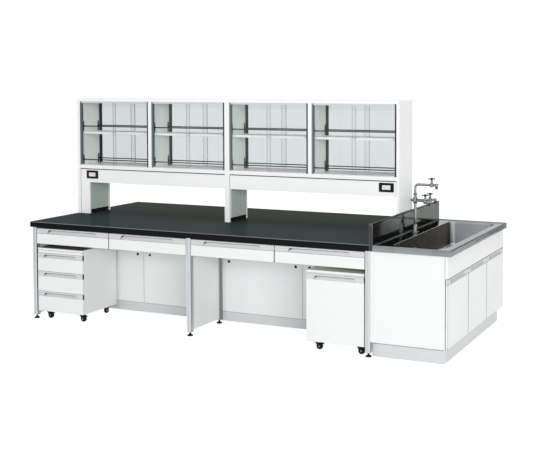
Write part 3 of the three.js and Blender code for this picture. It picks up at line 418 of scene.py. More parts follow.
FINISHES = {
    "laminate": charcoal_laminate(),
    "board": white_melamine("white_melamine", "#e9ecea", "#f1f2f1"),
    # The shelf's boards: a lighter copy of the white board, as painted light
    "shelf": white_melamine("bright_white_melamine", "#f4f6f5", "#fafbfa"),
    # Inner faces of the shelf's legs: white board painted grey-green, as painted shade in the cable space
    "leg_inside_shade": white_melamine("melamine_painted_grey_green_shade", "#b3c6bd", "#bccec6"),
    "knee": grey_kick_laminate(),
    # Posts, with their flanks painted a deeper grey as shade
    "post": anodised_post("anodised_aluminium", ("#c9cfd4", "#dee3e7"), ("#8f969c", "#a1a8ad")),
    # Inner posts, in the knee space: a darker copy of the same aluminium, as painted shade
    "shaded_rear_post": anodised_post("shaded_anodised_aluminium", ("#9aa1a7", "#b0b6bb"), ("#6d7479", "#7f868b")),
    # Painted light and shade: jambs that face the light are blue slate, jambs in shade a soft black.
    # Brackets are a soft black, guard rails charcoal
    "slate": anodised_aluminium("slate_anodised_aluminium", "#6b747d", "#858e97", (1, 1, 0.02)),
    "jamb": anodised_aluminium("dark_anodised_aluminium", "#202327", "#34383d", (1, 1, 0.02),
                               (0.32, 0.45), 0.6),
    "rail": anodised_aluminium("charcoal_anodised_aluminium", "#22272b", "#353b40", (0.02, 1, 1)),
    "grip": lacquered_aluminium("grip_aluminium", "#cbcfce", "#d6d9d8"),
    # The scoop: a slightly lighter copy of the grip's lacquer, as painted light in the recess
    "scoop": lacquered_aluminium("grip_aluminium_painted_lighter", "#cfd2d1", "#dadcdb"),
    "zinc": galvanised_steel(),
    # Deck and splashback are nearly polished. The basin is satin, brushed along its sides, which are
    # painted deep and warm as a painted reflection of shade, and across its ends, which are painted pale as
    # a painted reflection of light from above. Folded edges are dark.
    "steel": stainless_steel("polished_stainless_steel", "#878a8d", "#9b9ea1", (0.07, 0.16), 0.75),
    "splash": stainless_steel("polished_stainless_splashback", "#868986", "#9b9e9a", (0.06, 0.12), 1.0),
    "basin": stainless_steel("satin_stainless_painted_pale_ends", "#c3c8cc", "#d6dade", (0.32, 0.45)),
    "basin_painted_dark_side": stainless_steel("satin_stainless_painted_dark_sides", "#6f695f", "#837c71", (0.2, 0.32)),
    "fold": stainless_steel("folded_stainless_edge", "#3b3d3c", "#4a4c4b", (0.25, 0.35)),
    "chrome": chrome_plate("chrome_plate", "#868b8d", "#a9aeb0"),
    "handle": chrome_plate("black_chrome_plate", "#2d3032", "#3c3f42"),
    # Tops of the wagons: white, with a sheet painted brown for deep shade on one, and pale olive for
    # bounced light on the other
    "shaded_top": moulded("top_painted_brown_shade", "#635d52", "#7b7567", (0.5, 0.65), 2.0, 0.08),
    "bounce_lit_top": moulded("top_painted_olive_bounce", "#ebe7d6", "#f3f0e2", (0.3, 0.4), 2.0, 0.05),
    # Front panes: clear, with a breath of green
    "glass": float_glass("clear_float_glass", "#f9fcfa", "#fcfdfc"),
    # Back panes carry a pale grey film, which greys what is seen right through the shelf
    "film": float_glass("filmed_float_glass", "#eaebee", "#eeeff1"),
    # Ground edge of the glass: a matt sea-green line
    "glass_edge": moulded("ground_glass_edge", "#52645f", "#70857f", (0.35, 0.5)),
    # Glass-filled nylon of casters, feet and caps: black with a fine dull grain. The same black is painted
    # shade on the grips' ends and wedges, and in the strip over the bench drawers
    "black": moulded("black_nylon_and_painted_shade", "#0b0c0d", "#151617", (0.42, 0.6), sheen=0.2),
    # Rubber tyre: soft black, dry. The same black is painted shade in the shelf's notches and gaps
    "rubber": moulded("black_rubber_and_painted_shade", "#101010", "#1a1a1a", (0.7, 0.85), sheen=0.2),
    # Polycarbonate socket faces: warm white, slightly glossy
    "socket": moulded("white_polycarbonate", "#e4e4e0", "#eeeeea", (0.25, 0.35), bump=0.03),
    # Polypropylene trap: milky grey, waxy
    "trap": moulded("grey_polypropylene", "#b9bcba", "#cbcdcb", (0.4, 0.5), bump=0.05),
}


class Shape:
    """A mesh under construction, in millimetres. Each solid added to it names its finish."""

    def __init__(self):
        self.mesh = bmesh.new()
        self.finishes = []

    def dress(self, faces, finish_name, smooth):
        """Gives faces a finish of their own."""
        if finish_name not in self.finishes:
            self.finishes.append(finish_name)
        for face in faces:
            face.material_index = self.finishes.index(finish_name)
            face.smooth = smooth

    def soften(self, faces, edge):
        """Rounds the sharp edges of a closed set of faces."""
        edges = {e for f in faces for e in f.edges if e.is_manifold and e.calc_face_angle() > 0.5}
        bmesh.ops.bevel(self.mesh, geom=list(edges), offset=edge, segments=2, profile=0.5,
                        affect="EDGES", clamp_overlap=True)

    def loft(self, rings, finish_name, edge=0, smooth=False, closed=False):
        """Skin through rings of points, with its ends closed, or joined to each other."""
        corners = [[self.mesh.verts.new(p) for p in ring] for ring in rings]
        pairs = list(zip(corners, corners[1:]))
        faces = []
        if closed:
            pairs.append((corners[-1], corners[0]))
        for a, b in pairs:
            for i, here in enumerate(a):
                j = (i + 1) % len(a)
                faces.append(self.mesh.faces.new((here, a[j], b[j], b[i])))
        if not closed:
            faces.append(self.mesh.faces.new(corners[0][::-1]))
            faces.append(self.mesh.faces.new(corners[-1]))
        self.dress(faces, finish_name, smooth)
        bmesh.ops.recalc_face_normals(self.mesh, faces=faces)
        if edge:
            self.soften(faces, edge)

    def block(self, x, y, z, finish_name, edge=1.0):
        """Board or bar between two values on each axis, with rounded arrises."""
        (x0, x1), (y0, y1), (z0, z1) = sorted(x), sorted(y), sorted(z)
        ring = [(x0, y0), (x1, y0), (x1, y1), (x0, y1)]
        self.loft([[(a, b, h) for a, b in ring] for h in (z0, z1)], finish_name, edge)

    def prism(self, outline, axis, ends, finish_name, edge=0.0, smooth=False):
        """Outline drawn across an axis and pulled along it."""
        place = {"X": lambda a, b, h: (h, a, b),
                 "Y": lambda a, b, h: (a, h, b),
                 "Z": lambda a, b, h: (a, b, h)}
        rings = [[place[axis](a, b, h) for a, b in outline] for h in sorted(ends)]
        self.loft(rings, finish_name, edge, smooth)

    def turned(self, profile, at, axis, finish_name, sides=32, closed=False):
        """Profile of radius and height turned round an axis through a point."""
        aim = Vector(axis).to_track_quat("Z", "Y")
        rings = []
        for radius, height in profile:
            ring = [Vector((radius * cos(t), radius * sin(t), height))
                    for t in (2 * pi * i / sides for i in range(sides))]
            rings.append([aim @ p + Vector(at) for p in ring])
        self.loft(rings, finish_name, smooth=True, closed=closed)

    def tube(self, path, radius, finish_name, sides=20):
        """Round bar along a path of points."""
        points = [Vector(p) for p in path]
        side = (points[1] - points[0]).orthogonal().normalized()
        rings = []
        for i, p in enumerate(points):
            ahead = points[min(i + 1, len(points) - 1)] - points[max(i - 1, 0)]
            ahead.normalize()
            side = (side - ahead * side.dot(ahead)).normalized()
            other = ahead.cross(side)
            rings.append([p + radius * (side * cos(t) + other * sin(t))
                          for t in (2 * pi * k / sides for k in range(sides))])
        self.loft(rings, finish_name, smooth=True)

    def moved(self, matrix):
        """Turns and moves what was drawn so far."""
        self.mesh.transform(matrix)

    def piece(self, name, body, slot, replaces=()):
        """Finished object that rides on a body."""
        for e in self.mesh.edges:
            if e.is_manifold and e.calc_face_angle() > radians(35):
                e.smooth = False
        bmesh.ops.scale(self.mesh, vec=(MM, MM, MM), verts=self.mesh.verts)
        mesh = bpy.data.meshes.new(name)
        self.mesh.to_mesh(mesh)
        self.mesh.free()
        for finish_name in self.finishes:
            mesh.materials.append(FINISHES[finish_name])
        obj = bpy.data.objects.new(name, mesh)
        bpy.context.scene.collection.objects.link(obj)
        return settle(obj, body, replaces)


def settle(obj, body, replaces=()):
    """Lets a finished object ride on its body, in place of the nodes that it stands for."""
    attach(obj, body)
    if replaces:
        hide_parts(*replaces)
    return obj


def rounded(x, y, radius, steps=6):
    """Outline of a rectangle with round corners, between two values on each axis."""
    (x0, x1), (y0, y1) = sorted(x), sorted(y)
    centres = [(x1 - radius, y1 - radius), (x0 + radius, y1 - radius),
               (x0 + radius, y0 + radius), (x1 - radius, y0 + radius)]
    return [(cx + radius * cos(t), cy + radius * sin(t))
            for quarter, (cx, cy) in enumerate(centres)
            for t in (pi / 2 * (quarter + i / steps) for i in range(steps + 1))]


def growing(name, sizes):
    """A new Geometry Nodes tree with named size inputs: the tree, its inputs and what ends it."""
    tree = bpy.data.node_groups.new(name, "GeometryNodeTree")
    tree.interface.new_socket("Geometry", in_out="INPUT", socket_type="NodeSocketGeometry")
    for size in sizes:
        tree.interface.new_socket(size, in_out="INPUT", socket_type="NodeSocketFloat")
    tree.interface.new_socket("Geometry", in_out="OUTPUT", socket_type="NodeSocketGeometry")
    given = node(tree, "NodeGroupInput").outputs

    def end(geometry, material):
        real = node(tree, "GeometryNodeRealizeInstances", {0: geometry})
        dressed = node(tree, "GeometryNodeSetMaterial", {"Geometry": real, "Material": material})
        node(tree, "NodeGroupOutput", {0: dressed})
        return tree

    return tree, given, end


def grown(name, tree, points, sizes, body, edges=()):
    """Piece that a tree grows on points, with its sizes in millimetres, as a plain mesh."""
    seed = bpy.data.meshes.new(name)
    seed.from_pydata([Vector(p) * MM for p in points], edges, [])
    obj = bpy.data.objects.new(name, seed)
    bpy.context.scene.collection.objects.link(obj)
    modifier = obj.modifiers.new(name, "NODES")
    modifier.node_group = tree
    for socket in tree.interface.items_tree:
        if socket.in_out == "INPUT" and socket.name in sizes:
            modifier[socket.identifier] = sizes[socket.name] * MM
    ready = obj.evaluated_get(bpy.context.evaluated_depsgraph_get())
    mesh = bpy.data.meshes.new_from_object(ready)
    obj.modifiers.clear()
    obj.data = mesh
    return settle(obj, body)


def levelling_foot_tree():
    """A foot on each point: a pad, a cone over it and a threaded stem up into the post."""
    tree, given, end = growing("levelling_feet", ("Pad radius", "Pad height", "Stem radius", "Stem height"))
    pad = node(tree, "GeometryNodeMeshCylinder", {
        "Vertices": 32, "Radius": given["Pad radius"], "Depth": given["Pad height"]})
    cone = node(tree, "GeometryNodeMeshCone", {
        "Vertices": 32, "Radius Bottom": given["Pad radius"], "Radius Top": given["Stem radius"],
        "Depth": given["Pad height"]})
    stem = node(tree, "GeometryNodeMeshCylinder", {
        "Vertices": 20, "Radius": given["Stem radius"], "Depth": given["Stem height"]})
    half = node(tree, "ShaderNodeMath", {0: given["Pad height"], 1: 0.5}, operation="MULTIPLY")
    rise = node(tree, "ShaderNodeMath", {0: given["Stem height"], 1: 0.5}, operation="MULTIPLY")
    low = node(tree, "ShaderNodeCombineXYZ", {"Z": half})
    over = node(tree, "ShaderNodeCombineXYZ", {"Z": given["Pad height"]})
    up = node(tree, "ShaderNodeCombineXYZ", {"Z": rise})
    raised = [node(tree, "GeometryNodeTransform", {"Geometry": part, "Translation": by})
              for part, by in ((pad, low), (cone, over), (stem, up))]
    whole = node(tree, "GeometryNodeJoinGeometry", {0: raised})
    placed = node(tree, "GeometryNodeInstanceOnPoints", {"Points": given["Geometry"], "Instance": whole})
    return end(placed, FINISHES["black"])


def finger_cup_tree():
    """A cup pressed into each finger hole: a thin ring round a dished floor, open towards the front."""
    tree, given, end = growing("finger_cups", ("Hole radius", "Wall", "Depth"))
    path = node(tree, "GeometryNodeCurvePrimitiveCircle", {"Resolution": 32, "Radius": given["Hole radius"]})
    section = node(tree, "GeometryNodeCurvePrimitiveQuadrilateral", {
        "Width": given["Wall"], "Height": given["Depth"]})
    ring = node(tree, "GeometryNodeCurveToMesh", {"Curve": path, "Profile Curve": section})
    floor = node(tree, "GeometryNodeMeshCone", {
        "Vertices": 32, "Radius Bottom": given["Hole radius"], "Radius Top": given["Wall"],
        "Depth": given["Wall"]})
    whole = node(tree, "GeometryNodeJoinGeometry", {0: [ring, floor]})
    placed = node(tree, "GeometryNodeInstanceOnPoints", {
        "Points": given["Geometry"], "Instance": whole, "Rotation": (pi / 2, 0, 0)})
    return end(placed, FINISHES["black"])


def guard_rail_tree():
    """A round bar along each edge."""
    tree, given, end = growing("guard_rails", ("Rod radius",))
    path = node(tree, "GeometryNodeMeshToCurve", {0: given["Geometry"]})
    section = node(tree, "GeometryNodeCurvePrimitiveCircle", {
        "Resolution": 20, "Radius": given["Rod radius"]})
    rod = node(tree, "GeometryNodeCurveToMesh", {
        "Curve": path, "Profile Curve": section, "Fill Caps": True})
    return end(rod, FINISHES["rail"])


FEET = levelling_foot_tree()
CUPS = finger_cup_tree()
RAILS = guard_rail_tree()


# Bench: worktops, leg frames, knee wall and drawers
def post_outline(x, y):
    """Square profile with a shallow groove up each face."""
    half = POST / 2
    groove = POST_GROOVE / 2
    depth = 2.5
    side = [(-half + 2, -half), (-groove, -half), (-groove + 1, -half + depth), (groove - 1, -half + depth),
            (groove, -half), (half - 2, -half), (half, -half + 2)]
    turns = [(1, 0), (0, 1), (-1, 0), (0, -1)]
    return [(x + a * c - b * s, y + a * s + b * c) for c, s in turns for a, b in side]


def leg_frames(side):
    """Posts on feet, panels between them, and the rails, hangers and runners for one side's drawers."""
    low, high = span(f"leg_frames_{side}")
    inward = 1 if side == "front" else -1
    face, rear = (low.y, high.y) if inward > 0 else (high.y, low.y)
    posts_x = [low.x + POST / 2, (low.x + high.x) / 2, high.x - POST / 2]
    posts_y = [face + inward * POST / 2, rear - inward * POST / 2]
    posts, panels, rails = Shape(), Shape(), Shape()
    for x in posts_x:
        for y in posts_y:
            # Inner posts take the darker copy: painted shade
            tone = "post" if y == posts_y[0] else "shaded_rear_post"
            posts.prism(post_outline(x, y), "Z", (FOOT, high.z), tone, 0.4)
        half = PARTITION / 2
        panels.block((x - half, x + half), (face + inward * POST, rear - inward * POST),
                     (PARTITION_LIFT, high.z), "board", 1.2)
    for a, b in zip(posts_x, posts_x[1:]):
        rails.block((a + POST / 2, b - POST / 2), (rear - inward * POST, rear), (high.z - RAIL, high.z),
                    "zinc", 2)
    drawers = [span(f"bench_drawer_{side}_{i}") for i in (1, 2, 3, 4)]
    runner_top = drawers[0][0].z + BENCH_BOX[0] - CLEAR
    for a, b in zip(posts_x, posts_x[1:]):
        x = (a + b) / 2
        rails.block((x - HANGER / 2, x + HANGER / 2), (face + inward * (FRONT + CLEAR), rear - inward * POST),
                    (runner_top - RUNNER, high.z - 1), "zinc", 1)
    along = (face + inward * POST * 1.5, rear - inward * POST * 1.5)
    for d_low, d_high in drawers:
        for edge, way in ((d_low.x, 1), (d_high.x, -1)):
            rails.block((edge + way * RUNNER_GAP, edge + way * (BOX_ROOM + RUNNER_LEDGE)), along,
                        (runner_top - RUNNER, runner_top), "zinc", 1)
    # A black strip behind the gap over the drawers: painted shade under the worktop
    strip = [face + inward * depth for depth in SHADE_STRIP]
    rails.block((posts_x[0] + POST / 2, posts_x[-1] - POST / 2), strip,
                (drawers[0][1].z - DRAWER_TOP_GAP + 0.6, high.z), "black", 0.4)
    posts.piece(f"posts_{side}", "bench", "frame_profile", [f"leg_frames_{side}"])
    panels.piece(f"leg_panels_{side}", "bench", "white_board")
    rails.piece(f"drawer_rails_{side}", "bench", "frame_profile")
    grown(f"levelling_feet_{side}", FEET, [(x, y, 0) for x in posts_x for y in posts_y],
          {"Pad radius": FOOT_PAD / 2, "Pad height": FOOT_PAD_HEIGHT, "Stem radius": FOOT_STEM / 2,
           "Stem height": FOOT + FOOT_THREAD}, "bench")
    return posts_x


def grip_strip(shape, half, top, height, thickness, margin):
    """Scooped grip profile along a front's top, with painted shade on its ends, channel and a corner wedge.
    """
    low, high = top - height + GRIP_LIP, top - GRIP_TOP_LIP
    reach = half - margin
    bottom = top - height + 0.6
    points = [(-half, 0, bottom), (half, 0, bottom), (half, 0, top), (-half, 0, top),
              (-reach, 0, low), (reach, 0, low), (reach - GRIP_SLANT, 0, high), (GRIP_SLANT - reach, 0, high),
              (-reach + 2, 2, low + 1), (reach - 2, 2, low + 1),
              (reach - GRIP_SLANT, GRIP_DEPTH, high - 7), (GRIP_SLANT - reach, GRIP_DEPTH, high - 7),
              (reach - GRIP_SLANT, GRIP_DEPTH, high), (GRIP_SLANT - reach, GRIP_DEPTH, high),
              (-half, thickness, bottom), (half, thickness, bottom),
              (half, thickness, top), (-half, thickness, top)]
    pale = [(0, 1, 5, 4), (1, 2, 6, 5), (2, 3, 7, 6), (3, 0, 4, 7),
            (0, 1, 15, 14), (2, 3, 17, 16), (14, 15, 16, 17), (3, 0, 14, 17)]
    grey = [(4, 5, 9, 8), (8, 9, 10, 11), (7, 6, 12, 13), (5, 6, 12, 10, 9)]
    # Painted shade: slate in the channel, black on the scoop's left end and the strip's right end
    channel = [(11, 10, 12, 13)]
    black = [(7, 4, 8, 11, 13), (1, 2, 16, 15)]
    corners = [shape.mesh.verts.new(p) for p in points]
    faces = []
    for loops, finish_name in ((pale, "grip"), (grey, "scoop"), (channel, "slate"), (black, "black")):
        made = [shape.mesh.faces.new([corners[i] for i in loop]) for loop in loops]
        shape.dress(made, finish_name, False)
        faces += made
    bmesh.ops.recalc_face_normals(shape.mesh, faces=faces)
    rim = [e for f in faces for e in f.edges
           if all(abs(v.co.y) < 0.01 for v in e.verts) and abs(e.verts[0].co.z - e.verts[1].co.z) < 0.01
           and abs(e.verts[0].co.z - top) < 0.01]
    bmesh.ops.bevel(shape.mesh, geom=list(set(rim)), offset=1.2, segments=2, profile=0.5, affect="EDGES")
    # Painted shade: a black wedge at the scoop's left corner
    corner = GRIP_SLANT - reach
    shade_wedge = [(corner - 2, high - 0.4), (corner + 22, high - 0.4), (corner - 12, high - 19)]
    shape.prism(shade_wedge, "Y", (0.3, 4), "black", 0.3)


def front(shape, half, bottom, top, thickness, strip, margin, seal=0.0, edge_seal=0.0):
    """Front board with its grip profile, its face on y = 0.

    A gasket frames its back, round an inner panel, where it has a seal, and another runs up its right edge.
    """
    face = thickness - seal
    lip = half - edge_seal
    levels = (bottom + GASKET_INSET, top - GASKET_INSET)
    if seal:
        edges = (GASKET_INSET - half, lip)
        for x in ((edges[0], edges[0] + GASKET), (edges[1] - GASKET, edges[1])):
            shape.block(x, (face, thickness), levels, "black", 0.4)
        between = (edges[0] + GASKET, edges[1] - GASKET)
        for z in ((levels[0], levels[0] + GASKET), (levels[1] - GASKET, levels[1])):
            shape.block(between, (face, thickness), z, "black", 0.4)
        shape.block(between, (face - 1, thickness - 0.6), (levels[0] + GASKET, levels[1] - GASKET),
                    "board", 0.4)
    if edge_seal:
        shape.block((lip, half), (0.4, thickness), levels, "black", 0.4)
    shape.block((-half, lip), (0, face), (bottom, top - strip), "board", 1.4)
    grip_strip(shape, lip, top, strip, face, margin - edge_seal)


def drawer_box(shape, half, depth, bottom, height):
    """Open box behind a front: two sides, a back and a floor."""
    wall = BOX_WALL
    top = bottom + height
    for side in ((-half, wall - half), (half - wall, half)):
        shape.block(side, (FRONT, depth), (bottom, top), "board", 1)
    shape.block((wall - half, half - wall), (depth - wall, depth), (bottom, top - 4), "board", 1)
    shape.block((wall - half, half - wall), (FRONT, depth - wall), (bottom + 4, bottom + wall), "board", 0.5)


def drawer(name, strip, margin, box, facing=0.0, edge_seal=0.0):
    """Front and box in one: on the bench it faces front or back, on a wagon it faces front."""
    low, high = span(name)
    half = (high.x - low.x) / 2
    box_low = low.z + box[0]
    shape = Shape()
    on_bench = name.startswith("bench_drawer")
    front(shape, half, low.z, high.z - DRAWER_TOP_GAP * on_bench, FRONT, strip, margin, 0.0, edge_seal)
    side_room = BOX_ROOM if on_bench else BOX_ROOM + WAGON_WALL
    drawer_box(shape, half - side_room, high.y - low.y, box_low, box[1])
    place = Matrix.Translation(((low.x + high.x) / 2, high.y if facing else low.y, 0))
    shape.moved(place @ Matrix.Rotation(facing, 4, "Z"))
    shape.piece(f"{name}_front_and_box", name, "white_board", [name])


def dress_node(name, finish_name):
    """Gives a CAD node its finish."""
    for material_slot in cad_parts[name].material_slots:
        material_slot.link = "OBJECT"
        material_slot.material = FINISHES[finish_name]


def knee_wall(posts_x):
    """Panels of the service space, with a seam in the middle of each and cups in their finger holes."""
    dress_node("service_core", "knee")
    low, high = span("service_core")
    holes = []
    seams = Shape()
    for a, b in zip(posts_x, posts_x[1:]):
        seam = (a + b) / 2
        panel_edges = ((a + POST / 2, 1), (seam, -1), (seam, 1), (b - POST / 2, -1))
        at = [edge + way * FINGER_HOLE_INSET for edge, way in panel_edges]
        holes += [(x, y, FINGER_HOLE_HEIGHT) for x in at for y in (low.y + CUP_SEAT, high.y - CUP_SEAT)]
        for y, way in ((low.y, 1), (high.y, -1)):
            tone = "slate" if seam * way < 0 else "jamb"
            seams.block((seam - SEAM / 2, seam + SEAM / 2), (y + way * 0.8, y + way * 2),
                        (SEAM_FOOT, high.z - 2), tone, 0.2)
    seams.piece("knee_panel_seams", "bench", "frame_profile")
    sizes = {"Hole radius": FINGER_HOLE / 2 - CUP_WALL, "Wall": CUP_WALL, "Depth": CUP_DEPTH}
    grown("finger_cups", CUPS, holes, sizes, "bench")


# Wagons: carcass, drawers or door, and casters
def fork_axle(shape, at, across):
    """Axle through a fork, with a rivet head on each cheek."""
    for side in (-1, 1):
        out = Vector(across) * side
        shape.turned([(2, 0), (5.5, 0), (5.5, 0.6), (4, 1)], Vector(at) + out * FORK[1], out, "zinc", 16)
    shape.turned([(AXLE / 2, -AXLE_HALF), (AXLE / 2, AXLE_HALF)], at, across, "zinc", 20)


def swivel_fork(name):
    """Fork with a ball-race head, two cheeks and a brake pedal, round its kingpin."""
    wagon, hand = name.split("_caster_fork_")
    low, high = span(f"{wagon}_wheel_front_{hand}")
    axle = (low + high) / 2
    head_top = CASTER_HEIGHT - CASTER_SHEET - CLEAR
    shape = Shape()
    bore = KINGPIN / 2 + CLEAR
    shape.turned([(bore, -8), (17, -8), (18, -6.5), (18, -1.5), (17, 0), (bore, 0)], (0, 0, head_top),
                 UP, "black", closed=True)
    cheek = [(-16, head_top - 5), (12, axle.z - 8), (16, axle.z - 10), (24, axle.z - 10), (28, axle.z - 6),
             (29, axle.z), (26, axle.z + 9), (17, head_top - 8), (17, head_top - 5)]
    for side in (-1, 1):
        shape.prism(cheek, "Y", (side * FORK[0], side * FORK[1]), "black", 0.8)
    fork_axle(shape, (CASTER_TRAIL, 0, axle.z), (0, 1, 0))
    pedal = [(8, head_top - 8), (18, head_top - 9), (50, head_top - 22), (54, head_top - 22),
             (54, head_top - 18), (46, head_top - 14), (20, head_top - 3), (8, head_top - 2)]
    shape.prism(pedal, "Y", (-9, 9), "black", 1)
    shape.moved(Matrix.Translation((axle.x - CASTER_TRAIL, axle.y, 0)))
    shape.piece(f"{name}_moulding", name, "caster_metal", [name])


def wheel(name, across):
    """Tyre round a ribbed hub, on an axle that runs across."""
    low, high = span(name)
    centre = (low + high) / 2
    r = WHEEL_RADIUS
    shape = Shape()
    shape.turned([(18, -9), (22, -9.6), (24.2, -8), (r, -4.5), (r, 4.5), (24.2, 8), (22, 9.6), (18, 9)],
                 centre, across, "rubber", 40, closed=True)
    bore = AXLE / 2 + CLEAR
    shape.turned([(bore, -10), (7, -10), (8, -8), (15, -6.5), (17.9, -8.5), (17.9, 8.5), (15, 6.5), (8, 8),
                  (7, 10), (bore, 10)], centre, across, "black", 40, closed=True)
    shape.piece(f"{name}_tyre_and_hub", name, "caster_tread", [name])


def wagon_body(wagon, crown, ledges, has_shelf, cover):
    """Carcass on casters: crown is the top of its fronts, ledges are the heights of its drawer runners."""
    low, high = span(f"{wagon}_body")
    wall = WAGON_WALL
    under_top = high.z - WAGON_TOP
    seal = low.y + FRONT + CLEAR
    start = seal + SEAL
    shape = Shape()
    shape.block((low.x, high.x), (low.y, high.y), (under_top, high.z - TOP_SHEET_RISE), "board", 2)
    # A thin sheet on top carries the painted shade of one wagon and the painted bounce light of the other
    shape.block((low.x + TOP_SHEET_INSET, high.x - TOP_SHEET_INSET), (low.y + TOP_SHEET_INSET, high.y - TOP_SHEET_INSET),
                (high.z - TOP_SHEET, high.z), cover, 0.3)
    if under_top - crown > 3 * RAIL_GAP:
        shape.block((low.x + 2, high.x - 2), (low.y + 1.5, seal), (crown + RAIL_GAP, under_top - RAIL_GAP),
                    "board", 0.8)
    for x, way in ((low.x, 1), (high.x, -1)):
        shape.block((x, x + way * wall), (start, high.y), (CASTER_HEIGHT, under_top), "board", 1.2)
        shape.block((x + way * 1.5, x + way * (wall - 2)), (seal, start), (CASTER_HEIGHT + 2, under_top),
                    "black", 0.4)
    inner = (low.x + wall, high.x - wall)
    shape.block(inner, (start, high.y), (CASTER_HEIGHT, CASTER_HEIGHT + wall), "board", 1)
    shape.block(inner, (high.y - wall, high.y), (CASTER_HEIGHT + wall, under_top), "board", 1)
    if has_shelf:
        shape.block(inner, (start + FRONT, high.y - wall), (WAGON_SHELF - wall, WAGON_SHELF), "board", 1.2)
    for top in ledges:
        for x, way in ((inner[0], 1), (inner[1], -1)):
            shape.block((x, x + way * (BOX_ROOM + RUNNER_LEDGE)), (start, high.y - wall), (top - RUNNER, top),
                        "zinc", 0.8)
    plate = CASTER_PLATE / 2
    plate_low = CASTER_HEIGHT - CASTER_SHEET
    for x in (low.x + CASTER_INSET, high.x - CASTER_INSET):
        for y in (low.y + CASTER_INSET, high.y - CASTER_INSET):
            shape.prism(rounded((x - plate, x + plate), (y - plate, y + plate), 6, 4), "Z",
                        (plate_low, CASTER_HEIGHT), "zinc", 0.5)
        shape.turned([(KINGPIN / 2, -8), (KINGPIN / 2, 0)], (x, low.y + CASTER_INSET, plate_low), UP,
                     "zinc", 24)
        fixed_fork(shape, x, high.y - CASTER_INSET, plate_low)
    shape.piece(f"{wagon}_carcass", wagon, "white_board", [f"{wagon}_body"])


def fixed_fork(shape, x, y, top):
    """Rear caster's cheeks and axle, for a wheel that rolls front to back."""
    axle = WHEEL_RADIUS
    cheek = [(y - 17, top), (y - 9, axle - 4), (y - 5, axle - 9),
             (y + 5, axle - 9), (y + 9, axle - 4), (y + 17, top)]
    for side in (-1, 1):
        shape.prism(cheek, "X", (x + side * FORK[0], x + side * FORK[1]), "black", 0.8)
    fork_axle(shape, (x, y, axle), (1, 0, 0))


def door(name, strip, margin, facing, seal=0.0, edge_seal=0.0):
    """Hinged front: its face looks to the front, or to the right."""
    low, high = span(name)
    across = high.x - low.x if facing == 0 else high.y - low.y
    thickness = high.y - low.y if facing == 0 else high.x - low.x
    shape = Shape()
    front(shape, across / 2, low.z, high.z, thickness, strip, margin, seal, edge_seal)
    centre = (low + high) / 2
    at = (centre.x, low.y, 0) if facing == 0 else (high.x, centre.y, 0)
    shape.moved(Matrix.Translation(at) @ Matrix.Rotation(facing, 4, "Z"))
    shape.piece(f"{name}_front", name, "white_board", [name])


def wagons():
    """Drawer wagon and door wagon, with what moves on them."""
    levels = ("upper", "middle", "lower")
    ledges = [span(f"drawer_wagon_{level}_drawer")[0].z + WAGON_BOX[0] - CLEAR for level in levels]
    # Painted shade on the drawer wagon's top, painted bounce light on the door wagon's
    wagon_body("drawer_wagon", span("drawer_wagon_upper_drawer")[1].z, ledges, False, "shaded_top")
    wagon_body("door_wagon", span("door_wagon_door")[1].z, [], True, "bounce_lit_top")
    for level in levels:
        drawer(f"drawer_wagon_{level}_drawer", WAGON_STRIP, WAGON_GRIP_MARGIN, WAGON_BOX)
    door("door_wagon_door", WAGON_STRIP, WAGON_GRIP_MARGIN, 0)
    for wagon in ("drawer_wagon", "door_wagon"):
        for hand in ("left", "right"):
            swivel_fork(f"{wagon}_caster_fork_{hand}")
            wheel(f"{wagon}_wheel_front_{hand}", (0, 1, 0))
            wheel(f"{wagon}_wheel_rear_{hand}", (1, 0, 0))


# Reagent shelf: boards, glazing and fittings of two units
def socket_outlet(shape, x, z, out):
    """Black outlet plate with a white insert of two socket faces, on the front (-1) or back (1) fascia."""
    face = out * (SHELF_HALF - FASCIA_SETBACK)
    wide, tall = OUTLET[0] / 2, OUTLET[1] / 2
    plate = rounded((x - wide, x + wide), (z - tall, z + tall), 4, 4)
    shape.prism(plate, "Y", (face, face + out * OUTLET_PLATE), "black", 1)
    wide, tall = OUTLET_INSERT[0] / 2, OUTLET_INSERT[1] / 2
    insert = rounded((x - wide, x + wide), (z - tall, z + tall), 3, 3)
    shape.prism(insert, "Y", (face + out * 5, face + out * 6.4), "socket", 0.5)
    for centre in (x - SOCKET_PITCH / 2, x + SOCKET_PITCH / 2):
        shape.turned([(12.5, 0), (14, 0), (14, 1), (12.5, 1)], (centre, face + out * 6, z), (0, out, 0),
                     "socket", 28, closed=True)
        for pin, drop in ((-4.5, 2.5), (4.5, 2.5), (0, -5)):
            shape.block((centre + pin - 1.2, centre + pin + 1.2), (face + out * 6.2, face + out * 6.7),
                        (z + drop - 3, z + drop + 3), "black", 0.2)


def track_section(seat, towards, rib):
    """Double channel for the panes of the back face, on its seat. The front face takes its mirror image."""
    outer = SHELF_HALF - TRACK_EDGE
    inner = outer - TRACK_WIDTH
    low, high = seat + towards * TRACK_FLOOR, seat + towards * rib
    section = [(inner, seat), (outer, seat), (outer, high)]
    for a, b in TRACK_SLOTS:
        section += [(outer - a, high), (outer - a, low), (outer - b, low), (outer - b, high)]
    return section + [(inner, high)]


